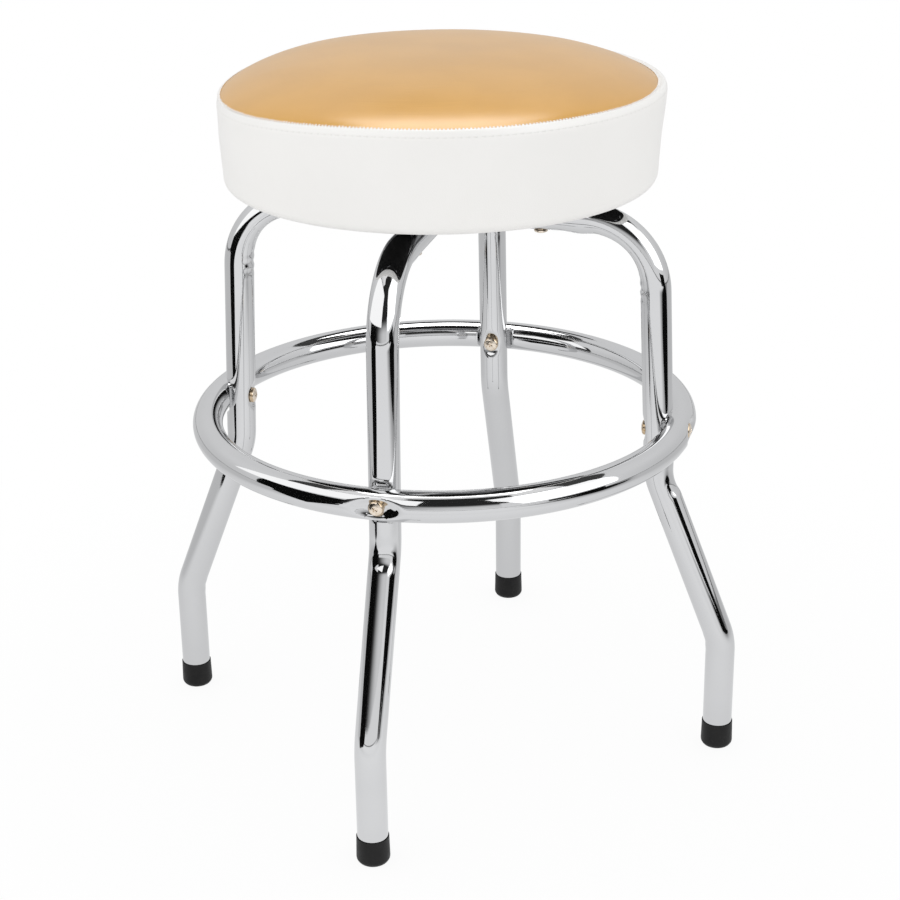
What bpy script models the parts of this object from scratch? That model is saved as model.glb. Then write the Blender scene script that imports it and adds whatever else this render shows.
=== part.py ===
"""Swivel bar stool on two crossed chrome tube frames, one closed solid for each physical piece.

Metres, +Z up. The origin is on the floor, below the axis that the seat turns about.
One leg points along each of -Y (front), +X (right), +Y (back) and -X (left).
"""
import math

import bmesh
import bpy
from mathutils import Matrix, Vector

# Gaps
CLEARANCE = 0.0003
ROLLING_CLEARANCE = 0.00035
CUT_OVERSHOOT = 0.002

# Tube frames
TUBE_DIAMETER = 0.0254
TUBE_WALL = 0.0014
FOOT_RADIUS = 0.2461
LEG_LEAN = math.radians(2.36)
ARM_HEIGHT = 0.4773
KNEE_HEIGHT = 0.2535
ANKLE_HEIGHT = 0.1040
TOP_BEND_RADIUS = 0.0624
KNEE_BEND_RADIUS = 0.060
ANKLE_BEND_RADIUS = 0.060
CRUSH_RUNOUT = 0.026

# Foot ring, and where the ring and the legs are pressed flat for each other
RING_RADIUS = 0.2033
RING_HEIGHT = 0.2968
RING_STANDOFF = 0.0173
RING_WALL = 0.0012
PRESS_RUNOUT = 0.012
LEG_DIMPLE_DEPTH = 0.0030
RING_DIMPLE_DEPTH = 0.0060
RING_DIMPLE_FLAT = 0.007
RING_DIMPLE_END = 0.021

# Ring screws and their barrel nuts
RING_SCREW_DIAMETER = 0.0048
RING_SCREW_HEAD_DIAMETER = 0.0124
RING_SCREW_HEAD_HEIGHT = 0.0040
BARREL_DIAMETER = 0.0068
BARREL_HEAD_DIAMETER = 0.0132
BARREL_HEAD_HEIGHT = 0.0042
BARREL_LENGTH = 0.024
BARREL_BORE_DEPTH = 0.017
SCREW_TIP_GAP = 0.004

# Rubber foot caps
CAP_WALL = 0.0008
CAP_HEIGHT = 0.0235
CAP_FLOOR = 0.004
CAP_EDGE = 0.0012
CAP_FIT = 0.0003

# Swivel: two pressed plates, a caged ring of balls and a hollow rivet
PLATE_SIDE = 0.150
PLATE_CORNER = 0.012
PLATE_GAUGE = 0.0020
BOLT_CIRCLE = 0.0845
BALL_DIAMETER = 0.0070
BALL_CIRCLE = 0.040
BALL_COUNT = 12
RACE_RISE = 0.0016
RACE_DEPTH = 0.0018
RACE_SIDE_ROOM = 0.0008
RACE_KNEE_SHARE = 0.8
RACE_LIP = 0.0024
RACE_SLOPE = 0.004
CAGE_WIDTH = 0.011
CAGE_GAUGE = 0.0010
RIVET_RADIUS = 0.012
RIVET_WALL = 0.002
RIVET_FLANGE = 0.006
RIVET_FLANGE_GAUGE = 0.0014

# Frame bolts up through the arms, with nuts on the lower plate
BOLT_DIAMETER = 0.006
BOLT_HEAD_DIAMETER = 0.0115
BOLT_HEAD_HEIGHT = 0.0028
BOLT_TIP = 0.001
NUT_ACROSS_CORNERS = 0.0115
NUT_HEIGHT = 0.005

# Seat
VINYL_GAUGE = 0.0012
DUST_GAUGE = 0.0008
DUST_RADIUS = 0.1565
BOARD_RADIUS = 0.166
BOARD_THICKNESS = 0.015
BOARD_EDGE = 0.002
HEM_TO_DUST = 0.0006
BAND_HEIGHT = 0.0800
BAND_TOP_RADIUS = 0.1821
BAND_BOTTOM_RADIUS = 0.1781
BAND_BOTTOM_ROUND = 0.007
BAND_SHOULDER = 0.010
SEAM_RADIUS = 0.1778
SEAM_TUCK = 0.008
SEAM_GAP = 0.0005
LIP_RISE = 0.001
CROWN = 0.0249
CROWN_FLATNESS = 2.3
CROWN_EDGE = 0.72
SEAT_SCREW_DIAMETER = 0.0048
SEAT_SCREW_HEAD_DIAMETER = 0.0100
SEAT_SCREW_HEAD_HEIGHT = 0.0026
SEAT_SCREW_BITE = 0.012

# How finely round things are cut
TUBE_BEVEL_RESOLUTION = 4
TOP_BEND_STEPS = 6
SMALL_BEND_STEPS = 2
RING_SPAN_STEPS = 7
SEAT_STEPS = 32
PLATE_STEPS = 24
CAP_STEPS = 20
RIVET_STEPS = 24
FASTENER_STEPS = 10
HOLE_STEPS = 10
CROWN_STEPS = 7
LIP_STEPS = 3
DOME_STEPS = 3

# Worked out from the sizes above
TUBE_RADIUS = TUBE_DIAMETER / 2
LEG_RADIUS = RING_RADIUS - RING_STANDOFF
CONTACT_RADIUS = RING_RADIUS - RING_STANDOFF / 2
PRESS_FLAT = TUBE_RADIUS + 3 * CLEARANCE
PRESS_END = PRESS_FLAT + PRESS_RUNOUT
LEG_DIMPLE_RADIUS = LEG_RADIUS - TUBE_RADIUS + LEG_DIMPLE_DEPTH
RING_DIMPLE_RADIUS = RING_RADIUS + TUBE_RADIUS - RING_DIMPLE_DEPTH
CRUSHED_SHARE = (TUBE_RADIUS - CLEARANCE / 2) / TUBE_DIAMETER
CRUSH_WIDENING = math.sqrt(2 - CRUSHED_SHARE ** 2)
CRUSH_FLAT = TUBE_RADIUS * CRUSH_WIDENING + 3 * CLEARANCE
CRUSH_END = CRUSH_FLAT + CRUSH_RUNOUT
TUBE_END = CAP_FLOOR + CLEARANCE
ARM_TOP = ARM_HEIGHT + TUBE_RADIUS
RACE_FLOOR = BALL_DIAMETER / 2 + ROLLING_CLEARANCE
PLATE_TOP = RACE_FLOOR + RACE_RISE
BALL_PLANE = ARM_TOP + CLEARANCE + PLATE_GAUGE + PLATE_TOP
WEB_LEVEL = RACE_FLOOR - RACE_DEPTH
DUST_BOTTOM = BALL_PLANE + PLATE_TOP + PLATE_GAUGE + CLEARANCE
BOARD_BOTTOM = DUST_BOTTOM + DUST_GAUGE + CLEARANCE
BOARD_TOP = BOARD_BOTTOM + BOARD_THICKNESS
SEAT_BOTTOM = BOARD_BOTTOM - CLEARANCE - VINYL_GAUGE
SEAM_HEIGHT = SEAT_BOTTOM + BAND_HEIGHT
COVER_RADIUS = SEAM_RADIUS - SEAM_GAP
LEG_AZIMUTHS = {"front": -90.0, "right": 0.0, "back": 90.0, "left": 180.0}


def clear_scene():
    for item in list(bpy.data.objects):
        bpy.data.objects.remove(item, do_unlink=True)


def new_collection(name):
    collection = bpy.data.collections.new(name)
    bpy.context.scene.collection.children.link(collection)
    return collection


def finish(name, colour, roughness, metallic):
    material = bpy.data.materials.new(name)
    material.use_nodes = True
    shader = material.node_tree.nodes["Principled BSDF"]
    shader.inputs["Base Color"].default_value = (*colour, 1.0)
    shader.inputs["Roughness"].default_value = roughness
    shader.inputs["Metallic"].default_value = metallic
    return material


clear_scene()
STOOL = new_collection("bar_stool")
CUTTERS = new_collection("bar_stool_cutters")

CHROME = finish("chrome", (0.80, 0.81, 0.83), 0.06, 1.0)
NICKEL = finish("warm_nickel", (0.72, 0.64, 0.54), 0.18, 1.0)
ZINC = finish("zinc_plated_steel", (0.58, 0.59, 0.60), 0.35, 1.0)
BALL_STEEL = finish("ball_steel", (0.70, 0.70, 0.72), 0.10, 1.0)
CAGE_PLASTIC = finish("cage_plastic", (0.10, 0.10, 0.11), 0.50, 0.0)
RUBBER = finish("black_rubber", (0.018, 0.018, 0.018), 0.65, 0.0)
GOLD_VINYL = finish("gold_vinyl", (0.70, 0.42, 0.12), 0.32, 0.55)
WHITE_VINYL = finish("white_vinyl", (0.86, 0.85, 0.83), 0.42, 0.0)
FOAM = finish("seat_foam", (0.80, 0.74, 0.52), 0.95, 0.0)
PLYWOOD = finish("plywood", (0.55, 0.36, 0.19), 0.60, 0.0)
DUST_CLOTH = finish("dust_cloth", (0.02, 0.02, 0.02), 0.90, 0.0)


def smooth_step(start, end, value):
    share = min(max((value - start) / (end - start), 0.0), 1.0)
    return share * share * (3 - 2 * share)


def mix(first, second, share):
    return first + (second - first) * share


def add_object(name, data, material=None, collection=STOOL):
    item = bpy.data.objects.new(name, data)
    collection.objects.link(item)
    if material:
        data.materials.clear()
        data.materials.append(material)
    return item


def evaluated_mesh(item):
    """The object's mesh with its modifiers applied, welded, and the object removed."""
    bpy.context.view_layer.update()
    graph = bpy.context.evaluated_depsgraph_get()
    mesh = bpy.data.meshes.new_from_object(item.evaluated_get(graph))
    bpy.data.objects.remove(item, do_unlink=True)
    work = bmesh.new()
    work.from_mesh(mesh)
    bmesh.ops.remove_doubles(work, verts=work.verts, dist=0.00001)
    bmesh.ops.recalc_face_normals(work, faces=work.faces)
    work.to_mesh(mesh)
    work.free()
    mesh.shade_smooth()
    return mesh


def profile_mesh(name, points, closed):
    mesh = bpy.data.meshes.new(name)
    edges = [(index, index + 1) for index in range(len(points) - 1)]
    if closed:
        edges.append((len(points) - 1, 0))
    mesh.from_pydata([(radius, 0, height) for radius, height in points], edges, [])
    return mesh


def turned(name, points, steps, material=None, closed=False):
    """A profile of (radius, height) points turned about Z."""
    item = add_object(name, profile_mesh(name, points, closed), material)
    screw = item.modifiers.new("turn", "SCREW")
    screw.axis = "Z"
    screw.angle = 2 * math.pi
    screw.steps = steps
    screw.render_steps = steps
    screw.use_merge_vertices = True
    screw.merge_threshold = 0.00001
    return item


def thicken(item, gauge):
    """Give an open surface its thickness, on the side away from its normals."""
    solidify = item.modifiers.new("gauge", "SOLIDIFY")
    solidify.thickness = gauge
    solidify.offset = -1.0


def hole_cutter(name, radius, length, frames):
    """One cutter of straight rods, each centred on its frame and running along its frame's Z."""
    work = bmesh.new()
    for frame in frames:
        bmesh.ops.create_cone(work, cap_ends=True, segments=HOLE_STEPS, radius1=radius, radius2=radius,
                              depth=length, matrix=frame)
    mesh = bpy.data.meshes.new(name)
    work.to_mesh(mesh)
    work.free()
    item = add_object(name, mesh, collection=CUTTERS)
    item.hide_render = True
    item.display_type = "WIRE"
    return item


def cut(item, cutter):
    boolean = item.modifiers.new(cutter.name, "BOOLEAN")
    boolean.operation = "DIFFERENCE"
    boolean.solver = "EXACT"
    boolean.object = cutter


def at(x, y, z):
    return Matrix.Translation((x, y, z))


def radial_frame(azimuth, radius, height):
    """A frame whose Z points straight out from the stool's axis."""
    turn = Matrix.Rotation(math.radians(azimuth), 4, "Z")
    return turn @ at(radius, 0, height) @ Matrix.Rotation(math.pi / 2, 4, "Y")


def dome(radius, height):
    """The outline of a domed head, from the middle of its top to its rim."""
    angles = [math.pi / 2 * step / DOME_STEPS for step in range(DOME_STEPS + 1)]
    return [(radius * math.sin(angle), height * math.cos(angle)) for angle in angles]


def bend(before, corner, after, radius, steps):
    """Points of the arc that rounds a corner of a flat path."""
    inward = (before - corner).normalized()
    onward = (after - corner).normalized()
    half = inward.angle(onward) / 2
    centre = corner + (inward + onward).normalized() * radius / math.sin(half)
    first = corner + inward * radius / math.tan(half) - centre
    last = corner + onward * radius / math.tan(half) - centre
    start = math.atan2(first.y, first.x)
    sweep = math.remainder(math.atan2(last.y, last.x) - start, 2 * math.pi)
    angles = [start + sweep * step / steps for step in range(steps + 1)]
    return [centre + radius * Vector((math.cos(angle), math.sin(angle))) for angle in angles]


def with_stations(points, axis, stations):
    """The same path with a point added wherever it crosses one of the stations."""
    result = []
    for start, end in zip(points, points[1:]):
        low, high = sorted((start[axis], end[axis]))
        crossed = sorted(place for place in stations if low + CLEARANCE < place < high - CLEARANCE)
        if end[axis] < start[axis]:
            crossed.reverse()
        result.append(start)
        result += [start.lerp(end, (place - start[axis]) / (end[axis] - start[axis])) for place in crossed]
    return result + [points[-1]]


def leg_radius_at(height):
    """Distance from the stool's axis to the centreline of the straight upper leg."""
    return LEG_RADIUS + (RING_HEIGHT - height) * math.tan(LEG_LEAN)


def leg_path():
    """Half of a frame's centreline, from the foot to the middle of the arms, as (reach, height)."""
    foot = Vector((FOOT_RADIUS, TUBE_END))
    ankle = Vector((FOOT_RADIUS, ANKLE_HEIGHT))
    knee = Vector((leg_radius_at(KNEE_HEIGHT), KNEE_HEIGHT))
    shoulder = Vector((leg_radius_at(ARM_HEIGHT), ARM_HEIGHT))
    middle = Vector((0, ARM_HEIGHT))
    points = [foot]
    points += bend(foot, ankle, knee, ANKLE_BEND_RADIUS, SMALL_BEND_STEPS)
    points += bend(ankle, knee, shoulder, KNEE_BEND_RADIUS, SMALL_BEND_STEPS)
    points += bend(knee, shoulder, middle, TOP_BEND_RADIUS, TOP_BEND_STEPS)
    points.append(middle)
    press = [PRESS_FLAT, PRESS_END]
    pressed = [RING_HEIGHT] + [RING_HEIGHT + side * offset for offset in press for side in (-1, 1)]
    points = with_stations(points, 1, pressed)
    return with_stations(points, 0, [CRUSH_FLAT, (CRUSH_FLAT + CRUSH_END) / 2, CRUSH_END])


def tube_mesh(name, points, cyclic=False):
    """An open round tube along 3-D points."""
    curve = bpy.data.curves.new(name, "CURVE")
    curve.dimensions = "3D"
    curve.bevel_depth = TUBE_RADIUS
    curve.bevel_resolution = TUBE_BEVEL_RESOLUTION
    curve.use_fill_caps = False
    spline = curve.splines.new("POLY")
    spline.points.add(len(points) - 1)
    for place, point in zip(spline.points, points):
        place.co = (*point, 1.0)
    spline.use_cyclic_u = cyclic
    return evaluated_mesh(add_object(name, curve))


def press_leg(place):
    """Flatten the leg's outside against the ring, and its inside under the barrel nut's head."""
    away = abs(place.z - RING_HEIGHT)
    if away < PRESS_END:
        free = smooth_step(PRESS_FLAT, PRESS_END, away)
        outer = CONTACT_RADIUS - CLEARANCE / 2 + free * TUBE_DIAMETER
        inner = LEG_DIMPLE_RADIUS - free * TUBE_DIAMETER
        place.x = math.copysign(min(max(abs(place.x), inner), outer), place.x)


def crush_arm(place, kept_side):
    """Flatten the arm to half its height where the other frame crosses it."""
    away = abs(place.x)
    if away < CRUSH_END:
        free = smooth_step(CRUSH_FLAT, CRUSH_END, away)
        kept = ARM_HEIGHT + kept_side * TUBE_RADIUS
        place.z = kept + (place.z - kept) * mix(CRUSHED_SHARE, 1.0, free)
        place.y *= mix(CRUSH_WIDENING, 1.0, free)


def leg_frame(name, azimuth, kept_side):
    """One tube bent to an upside-down U, holed for its two barrel nuts and two frame bolts."""
    half = leg_path()
    points = [(reach, 0, height) for reach, height in half]
    points += [(-reach, 0, height) for reach, height in reversed(half[:-1])]
    mesh = tube_mesh(name, points)
    for vertex in mesh.vertices:
        press_leg(vertex.co)
        crush_arm(vertex.co, kept_side)
    item = add_object(name, mesh, CHROME)
    item.rotation_euler.z = math.radians(azimuth)
    thicken(item, TUBE_WALL)
    turn = Matrix.Rotation(math.radians(azimuth), 4, "Z")
    lengthwise = turn @ at(0, 0, RING_HEIGHT) @ Matrix.Rotation(math.pi / 2, 4, "Y")
    barrel_hole = BARREL_DIAMETER / 2 + CLEARANCE
    cut(item, hole_cutter(name + "_barrel_holes", barrel_hole, 2 * RING_RADIUS, [lengthwise]))
    upright = [turn @ at(side * BOLT_CIRCLE, 0, ARM_HEIGHT) for side in (-1, 1)]
    bolt_hole = BOLT_DIAMETER / 2 + CLEARANCE
    cut(item, hole_cutter(name + "_bolt_holes", bolt_hole, 2 * TUBE_DIAMETER, upright))
    return item


def press_ring(place):
    """Flatten the ring's inside against each leg, and dimple its outside for the screw's head."""
    for azimuth in LEG_AZIMUTHS.values():
        out = Vector((math.cos(math.radians(azimuth)), math.sin(math.radians(azimuth)), 0))
        across = Vector((-out.y, out.x, 0))
        reach = place.dot(out)
        away = abs(place.dot(across))
        if reach < 0 or away > PRESS_END:
            continue
        free = smooth_step(PRESS_FLAT, PRESS_END, away)
        inner = CONTACT_RADIUS + CLEARANCE / 2 - free * TUBE_DIAMETER
        place += out * max(inner - reach, 0)
        free = smooth_step(RING_DIMPLE_FLAT, RING_DIMPLE_END, away)
        outer = RING_DIMPLE_RADIUS + free * RING_DIMPLE_DEPTH
        radius = math.hypot(place.x, place.y)
        shrink = min(outer / radius, 1.0)
        place.x *= shrink
        place.y *= shrink


def foot_ring():
    pressed = [0, RING_DIMPLE_FLAT, PRESS_FLAT, PRESS_END]
    pressed_end = PRESS_END / RING_RADIUS
    free_span = math.pi / 2 - 2 * pressed_end
    angles = []
    for azimuth in LEG_AZIMUTHS.values():
        middle = math.radians(azimuth)
        angles += [middle - offset / RING_RADIUS for offset in reversed(pressed[1:])]
        angles += [middle + offset / RING_RADIUS for offset in pressed]
        shares = [step / RING_SPAN_STEPS for step in range(1, RING_SPAN_STEPS)]
        angles += [middle + pressed_end + free_span * share for share in shares]
    points = [(RING_RADIUS * math.cos(angle), RING_RADIUS * math.sin(angle), RING_HEIGHT) for angle in angles]
    mesh = tube_mesh("foot_ring", points, cyclic=True)
    for vertex in mesh.vertices:
        press_ring(vertex.co)
    item = add_object("foot_ring", mesh, CHROME)
    thicken(item, RING_WALL)
    azimuths = LEG_AZIMUTHS.values()
    inside = [radial_frame(azimuth, CONTACT_RADIUS, RING_HEIGHT) for azimuth in azimuths]
    outside = [radial_frame(azimuth, RING_RADIUS + TUBE_RADIUS, RING_HEIGHT) for azimuth in azimuths]
    barrel_hole = BARREL_DIAMETER / 2 + CLEARANCE
    screw_hole = RING_SCREW_DIAMETER / 2 + CLEARANCE
    cut(item, hole_cutter("ring_barrel_holes", barrel_hole, TUBE_RADIUS, inside))
    cut(item, hole_cutter("ring_screw_holes", screw_hole, TUBE_DIAMETER, outside))
    return item


def ring_fasteners():
    """At each leg a screw from outside the ring and a barrel nut from inside the leg."""
    nut_seat = LEG_DIMPLE_RADIUS - CLEARANCE
    screw_seat = RING_DIMPLE_RADIUS + CLEARANCE
    bore_end = nut_seat + BARREL_LENGTH - BARREL_BORE_DEPTH
    shank = screw_seat - bore_end - SCREW_TIP_GAP
    screw = dome(RING_SCREW_HEAD_DIAMETER / 2, RING_SCREW_HEAD_HEIGHT)
    screw += [(RING_SCREW_DIAMETER / 2, 0), (RING_SCREW_DIAMETER / 2, -shank), (0, -shank)]
    bore = RING_SCREW_DIAMETER / 2 + CLEARANCE
    nut = dome(BARREL_HEAD_DIAMETER / 2, BARREL_HEAD_HEIGHT)
    nut += [(BARREL_DIAMETER / 2, 0), (BARREL_DIAMETER / 2, -BARREL_LENGTH), (bore, -BARREL_LENGTH)]
    nut += [(bore, BARREL_BORE_DEPTH - BARREL_LENGTH), (0, BARREL_BORE_DEPTH - BARREL_LENGTH)]
    about = Matrix.Rotation(math.pi, 4, "Y")
    for side, azimuth in LEG_AZIMUTHS.items():
        item = turned("ring_screw_" + side, screw, FASTENER_STEPS, NICKEL)
        item.matrix_world = radial_frame(azimuth, screw_seat, RING_HEIGHT)
        item = turned("ring_barrel_nut_" + side, nut, FASTENER_STEPS, NICKEL)
        item.matrix_world = radial_frame(azimuth, nut_seat, RING_HEIGHT) @ about


def foot_caps():
    bore = TUBE_RADIUS + CAP_FIT
    outside = bore + CAP_WALL
    cup = [(0, CAP_FLOOR), (bore, CAP_FLOOR), (bore, CAP_HEIGHT), (outside, CAP_HEIGHT)]
    cup += [(outside, CAP_EDGE), (outside - CAP_EDGE, 0), (0, 0)]
    for side, azimuth in LEG_AZIMUTHS.items():
        item = turned("foot_cap_" + side, cup, CAP_STEPS, RUBBER)
        item.location = Matrix.Rotation(math.radians(azimuth), 3, "Z") @ Vector((FOOT_RADIUS, 0, 0))


def square_reach(angle):
    """How far a swivel plate's round-cornered square outline lies from its middle, at an angle."""
    half = PLATE_SIDE / 2
    inner = half - PLATE_CORNER
    turn = abs(math.remainder(angle, math.pi / 2))
    if half * math.tan(turn) <= inner:
        return half / math.cos(turn)
    along = inner * (math.cos(turn) + math.sin(turn))
    return along + math.sqrt(along ** 2 - 2 * inner ** 2 + PLATE_CORNER ** 2)


def corner_turns():
    """Turns about Z that bring +X to each corner of a square plate."""
    return [Matrix.Rotation(math.radians(45 + 90 * turn), 4, "Z") for turn in range(4)]


def swivel_plate(name, frame):
    """A square plate pressed up to a web and a ball race, with its balls' plane at its own zero."""
    half_race = math.sqrt((BALL_DIAMETER / 2) ** 2 - WEB_LEVEL ** 2) + RACE_SIDE_ROOM
    race_knee = half_race * RACE_KNEE_SHARE
    knee_level = (RACE_FLOOR + WEB_LEVEL) / 2
    lip = half_race + RACE_LIP
    profile = [(RIVET_RADIUS + ROLLING_CLEARANCE, -WEB_LEVEL)]
    profile += [(BALL_CIRCLE - half_race, -WEB_LEVEL), (BALL_CIRCLE - race_knee, -knee_level)]
    profile += [(BALL_CIRCLE, -RACE_FLOOR), (BALL_CIRCLE + race_knee, -knee_level)]
    profile += [(BALL_CIRCLE + half_race, -WEB_LEVEL), (BALL_CIRCLE + lip, -WEB_LEVEL)]
    profile += [(BALL_CIRCLE + lip + RACE_SLOPE, -PLATE_TOP), (PLATE_SIDE / 2, -PLATE_TOP)]
    mesh = evaluated_mesh(turned(name, profile, PLATE_STEPS))
    rim = PLATE_SIDE / 2 - CLEARANCE
    for vertex in mesh.vertices:
        radius = math.hypot(vertex.co.x, vertex.co.y)
        if radius > rim:
            stretch = square_reach(math.atan2(vertex.co.y, vertex.co.x)) / radius
            vertex.co.x *= stretch
            vertex.co.y *= stretch
    if mesh.polygons[0].normal.z < 0:
        mesh.flip_normals()
    item = add_object(name, mesh, ZINC)
    item.matrix_world = frame
    thicken(item, PLATE_GAUGE)
    holes = [frame @ corner @ at(BOLT_CIRCLE, 0, -PLATE_TOP) for corner in corner_turns()]
    bolt_hole = BOLT_DIAMETER / 2 + CLEARANCE
    cut(item, hole_cutter(name + "_holes", bolt_hole, 2 * (PLATE_GAUGE + CUT_OVERSHOOT), holes))
    return item


def bearing():
    """The balls, in a flat cage half way between the two races."""
    cage_inner = BALL_CIRCLE - CAGE_WIDTH / 2
    cage_outer = BALL_CIRCLE + CAGE_WIDTH / 2
    section = [(cage_inner, CAGE_GAUGE / 2), (cage_outer, CAGE_GAUGE / 2)]
    section += [(cage_outer, -CAGE_GAUGE / 2), (cage_inner, -CAGE_GAUGE / 2)]
    cage = turned("ball_cage", section, PLATE_STEPS, CAGE_PLASTIC, closed=True)
    cage.location.z = BALL_PLANE
    turns = [Matrix.Rotation(2 * math.pi * index / BALL_COUNT, 4, "Z") for index in range(BALL_COUNT)]
    places = [turn @ at(BALL_CIRCLE, 0, BALL_PLANE) for turn in turns]
    pocket = BALL_DIAMETER / 2 + 2 * CLEARANCE
    cut(cage, hole_cutter("ball_pockets", pocket, CAGE_GAUGE + CUT_OVERSHOOT, places))
    work = bmesh.new()
    bmesh.ops.create_icosphere(work, subdivisions=2, radius=BALL_DIAMETER / 2)
    mesh = bpy.data.meshes.new("bearing_ball")
    work.to_mesh(mesh)
    work.free()
    mesh.shade_smooth()
    pieces = [cage]
    for index, place in enumerate(places, 1):
        ball = add_object(f"bearing_ball_{index:02d}", mesh, BALL_STEEL)
        ball.matrix_world = place
        pieces.append(ball)
    return pieces


def swivel_rivet():
    """A hollow rivet whose two flanges hold the webs of the plates together."""
    bore = RIVET_RADIUS - RIVET_WALL
    flange = RIVET_RADIUS + RIVET_FLANGE
    web_back = WEB_LEVEL + PLATE_GAUGE + CLEARANCE
    end = web_back + RIVET_FLANGE_GAUGE
    section = [(bore, end), (flange, end), (flange, web_back), (RIVET_RADIUS, web_back)]
    section += [(RIVET_RADIUS, -web_back), (flange, -web_back), (flange, -end), (bore, -end)]
    item = turned("swivel_rivet", section, RIVET_STEPS, ZINC, closed=True)
    item.location.z = BALL_PLANE
    return item


def frame_bolts():
    """At each arm a bolt up through the tube and the lower plate, with a nut on top."""
    plate_face = BALL_PLANE - PLATE_TOP
    head_seat = ARM_HEIGHT - TUBE_RADIUS - CLEARANCE
    nut_bottom = plate_face + CLEARANCE
    shank = nut_bottom + NUT_HEIGHT + BOLT_TIP - head_seat
    bolt = dome(BOLT_HEAD_DIAMETER / 2, BOLT_HEAD_HEIGHT)
    bolt += [(BOLT_DIAMETER / 2, 0), (BOLT_DIAMETER / 2, -shank), (0, -shank)]
    for side, azimuth in LEG_AZIMUTHS.items():
        arm = Matrix.Rotation(math.radians(azimuth), 4, "Z") @ at(BOLT_CIRCLE, 0, 0)
        item = turned("frame_bolt_" + side, bolt, FASTENER_STEPS, NICKEL)
        item.matrix_world = arm @ at(0, 0, head_seat) @ Matrix.Rotation(math.pi, 4, "X")
        work = bmesh.new()
        bmesh.ops.create_cone(work, cap_ends=True, segments=6, radius1=NUT_ACROSS_CORNERS / 2,
                              radius2=NUT_ACROSS_CORNERS / 2, depth=NUT_HEIGHT)
        mesh = bpy.data.meshes.new("frame_nut_" + side)
        work.to_mesh(mesh)
        work.free()
        nut = add_object("frame_nut_" + side, mesh, ZINC)
        nut.matrix_world = arm @ at(0, 0, nut_bottom + NUT_HEIGHT / 2)
        bore = BOLT_DIAMETER / 2 + CLEARANCE
        through = NUT_HEIGHT + CUT_OVERSHOOT
        cut(nut, hole_cutter("frame_nut_bore_" + side, bore, through, [nut.matrix_world.copy()]))


def seat_holes(name, bottom, top):
    """A cutter for the four seat screws, between two heights."""
    radius = SEAT_SCREW_DIAMETER / 2 + CLEARANCE
    middles = [corner @ at(BOLT_CIRCLE, 0, (bottom + top) / 2) for corner in corner_turns()]
    return hole_cutter(name, radius, top - bottom, middles)


def crown_outline():
    """The top of the seat as (radius, height), from its middle to where the cover tucks into the seam."""
    radii = [COVER_RADIUS * math.sin(math.pi / 2 * step / CROWN_STEPS) for step in range(CROWN_STEPS + 1)]
    points = []
    for radius in radii:
        share = (radius / COVER_RADIUS) ** CROWN_FLATNESS
        points.append((radius, SEAM_HEIGHT + CROWN * max(1 - share, 0.0) ** CROWN_EDGE))
    return points


def quarter_arc(centre, reach, rise, start):
    """Points of a quarter ellipse about a centre, running clockwise from a start angle."""
    angles = [start - math.pi / 2 * step / LIP_STEPS for step in range(LIP_STEPS + 1)]
    return [(centre[0] + reach * math.cos(angle), centre[1] + rise * math.sin(angle)) for angle in angles]


def band_outline():
    """The side band as (radius, height), from its folded lip down to the turn under the seat."""
    shoulder = SEAM_HEIGHT - BAND_SHOULDER
    fold = SEAM_RADIUS + VINYL_GAUGE
    points = [(SEAM_RADIUS, SEAM_HEIGHT + LIP_RISE)]
    points += quarter_arc((fold, shoulder), BAND_TOP_RADIUS - fold, BAND_SHOULDER + LIP_RISE, math.pi / 2)
    turn = (BAND_BOTTOM_RADIUS - BAND_BOTTOM_ROUND, SEAT_BOTTOM + BAND_BOTTOM_ROUND)
    return points + quarter_arc(turn, BAND_BOTTOM_ROUND, BAND_BOTTOM_ROUND, 0.0)


def inset(points, distance):
    """An outline moved in by a distance, square to its own run."""
    result = []
    for index, point in enumerate(points):
        before = Vector(points[max(index - 1, 0)])
        after = Vector(points[min(index + 1, len(points) - 1)])
        run = (after - before).normalized()
        result.append((max(point[0] + run.y * distance, 0.0), point[1] - run.x * distance))
    return result


def seat_board():
    edge = BOARD_RADIUS - BOARD_EDGE
    outline = [(0, BOARD_TOP), (edge, BOARD_TOP), (BOARD_RADIUS, BOARD_TOP - BOARD_EDGE)]
    outline += [(BOARD_RADIUS, BOARD_BOTTOM + BOARD_EDGE), (edge, BOARD_BOTTOM), (0, BOARD_BOTTOM)]
    item = turned("seat_board", outline, SEAT_STEPS, PLYWOOD)
    screw_end = BALL_PLANE + PLATE_TOP - CLEARANCE + seat_screw_length()
    cut(item, seat_holes("board_screw_holes", BOARD_BOTTOM - CUT_OVERSHOOT, screw_end + CLEARANCE))
    return item


def dust_cover():
    top = DUST_BOTTOM + DUST_GAUGE
    outline = [(0, top), (DUST_RADIUS, top), (DUST_RADIUS, DUST_BOTTOM), (0, DUST_BOTTOM)]
    item = turned("dust_cover", outline, SEAT_STEPS, DUST_CLOTH)
    cut(item, seat_holes("dust_screw_holes", DUST_BOTTOM - CUT_OVERSHOOT, top + CUT_OVERSHOOT))
    return item


def seat_screw_length():
    return CLEARANCE + PLATE_GAUGE + CLEARANCE + DUST_GAUGE + CLEARANCE + SEAT_SCREW_BITE


def seat_screws():
    """Four screws up through the upper plate and the dust cover into the board."""
    shank = SEAT_SCREW_DIAMETER / 2
    length = seat_screw_length()
    outline = dome(SEAT_SCREW_HEAD_DIAMETER / 2, SEAT_SCREW_HEAD_HEIGHT)
    outline += [(shank, 0), (shank, -length), (0, -length)]
    pieces = []
    for number, corner in enumerate(corner_turns(), 1):
        item = turned(f"seat_screw_{number}", outline, FASTENER_STEPS, ZINC)
        seat = at(BOLT_CIRCLE, 0, BALL_PLANE + PLATE_TOP - CLEARANCE)
        item.matrix_world = corner @ seat @ Matrix.Rotation(math.pi, 4, "X")
        pieces.append(item)
    return pieces


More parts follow.
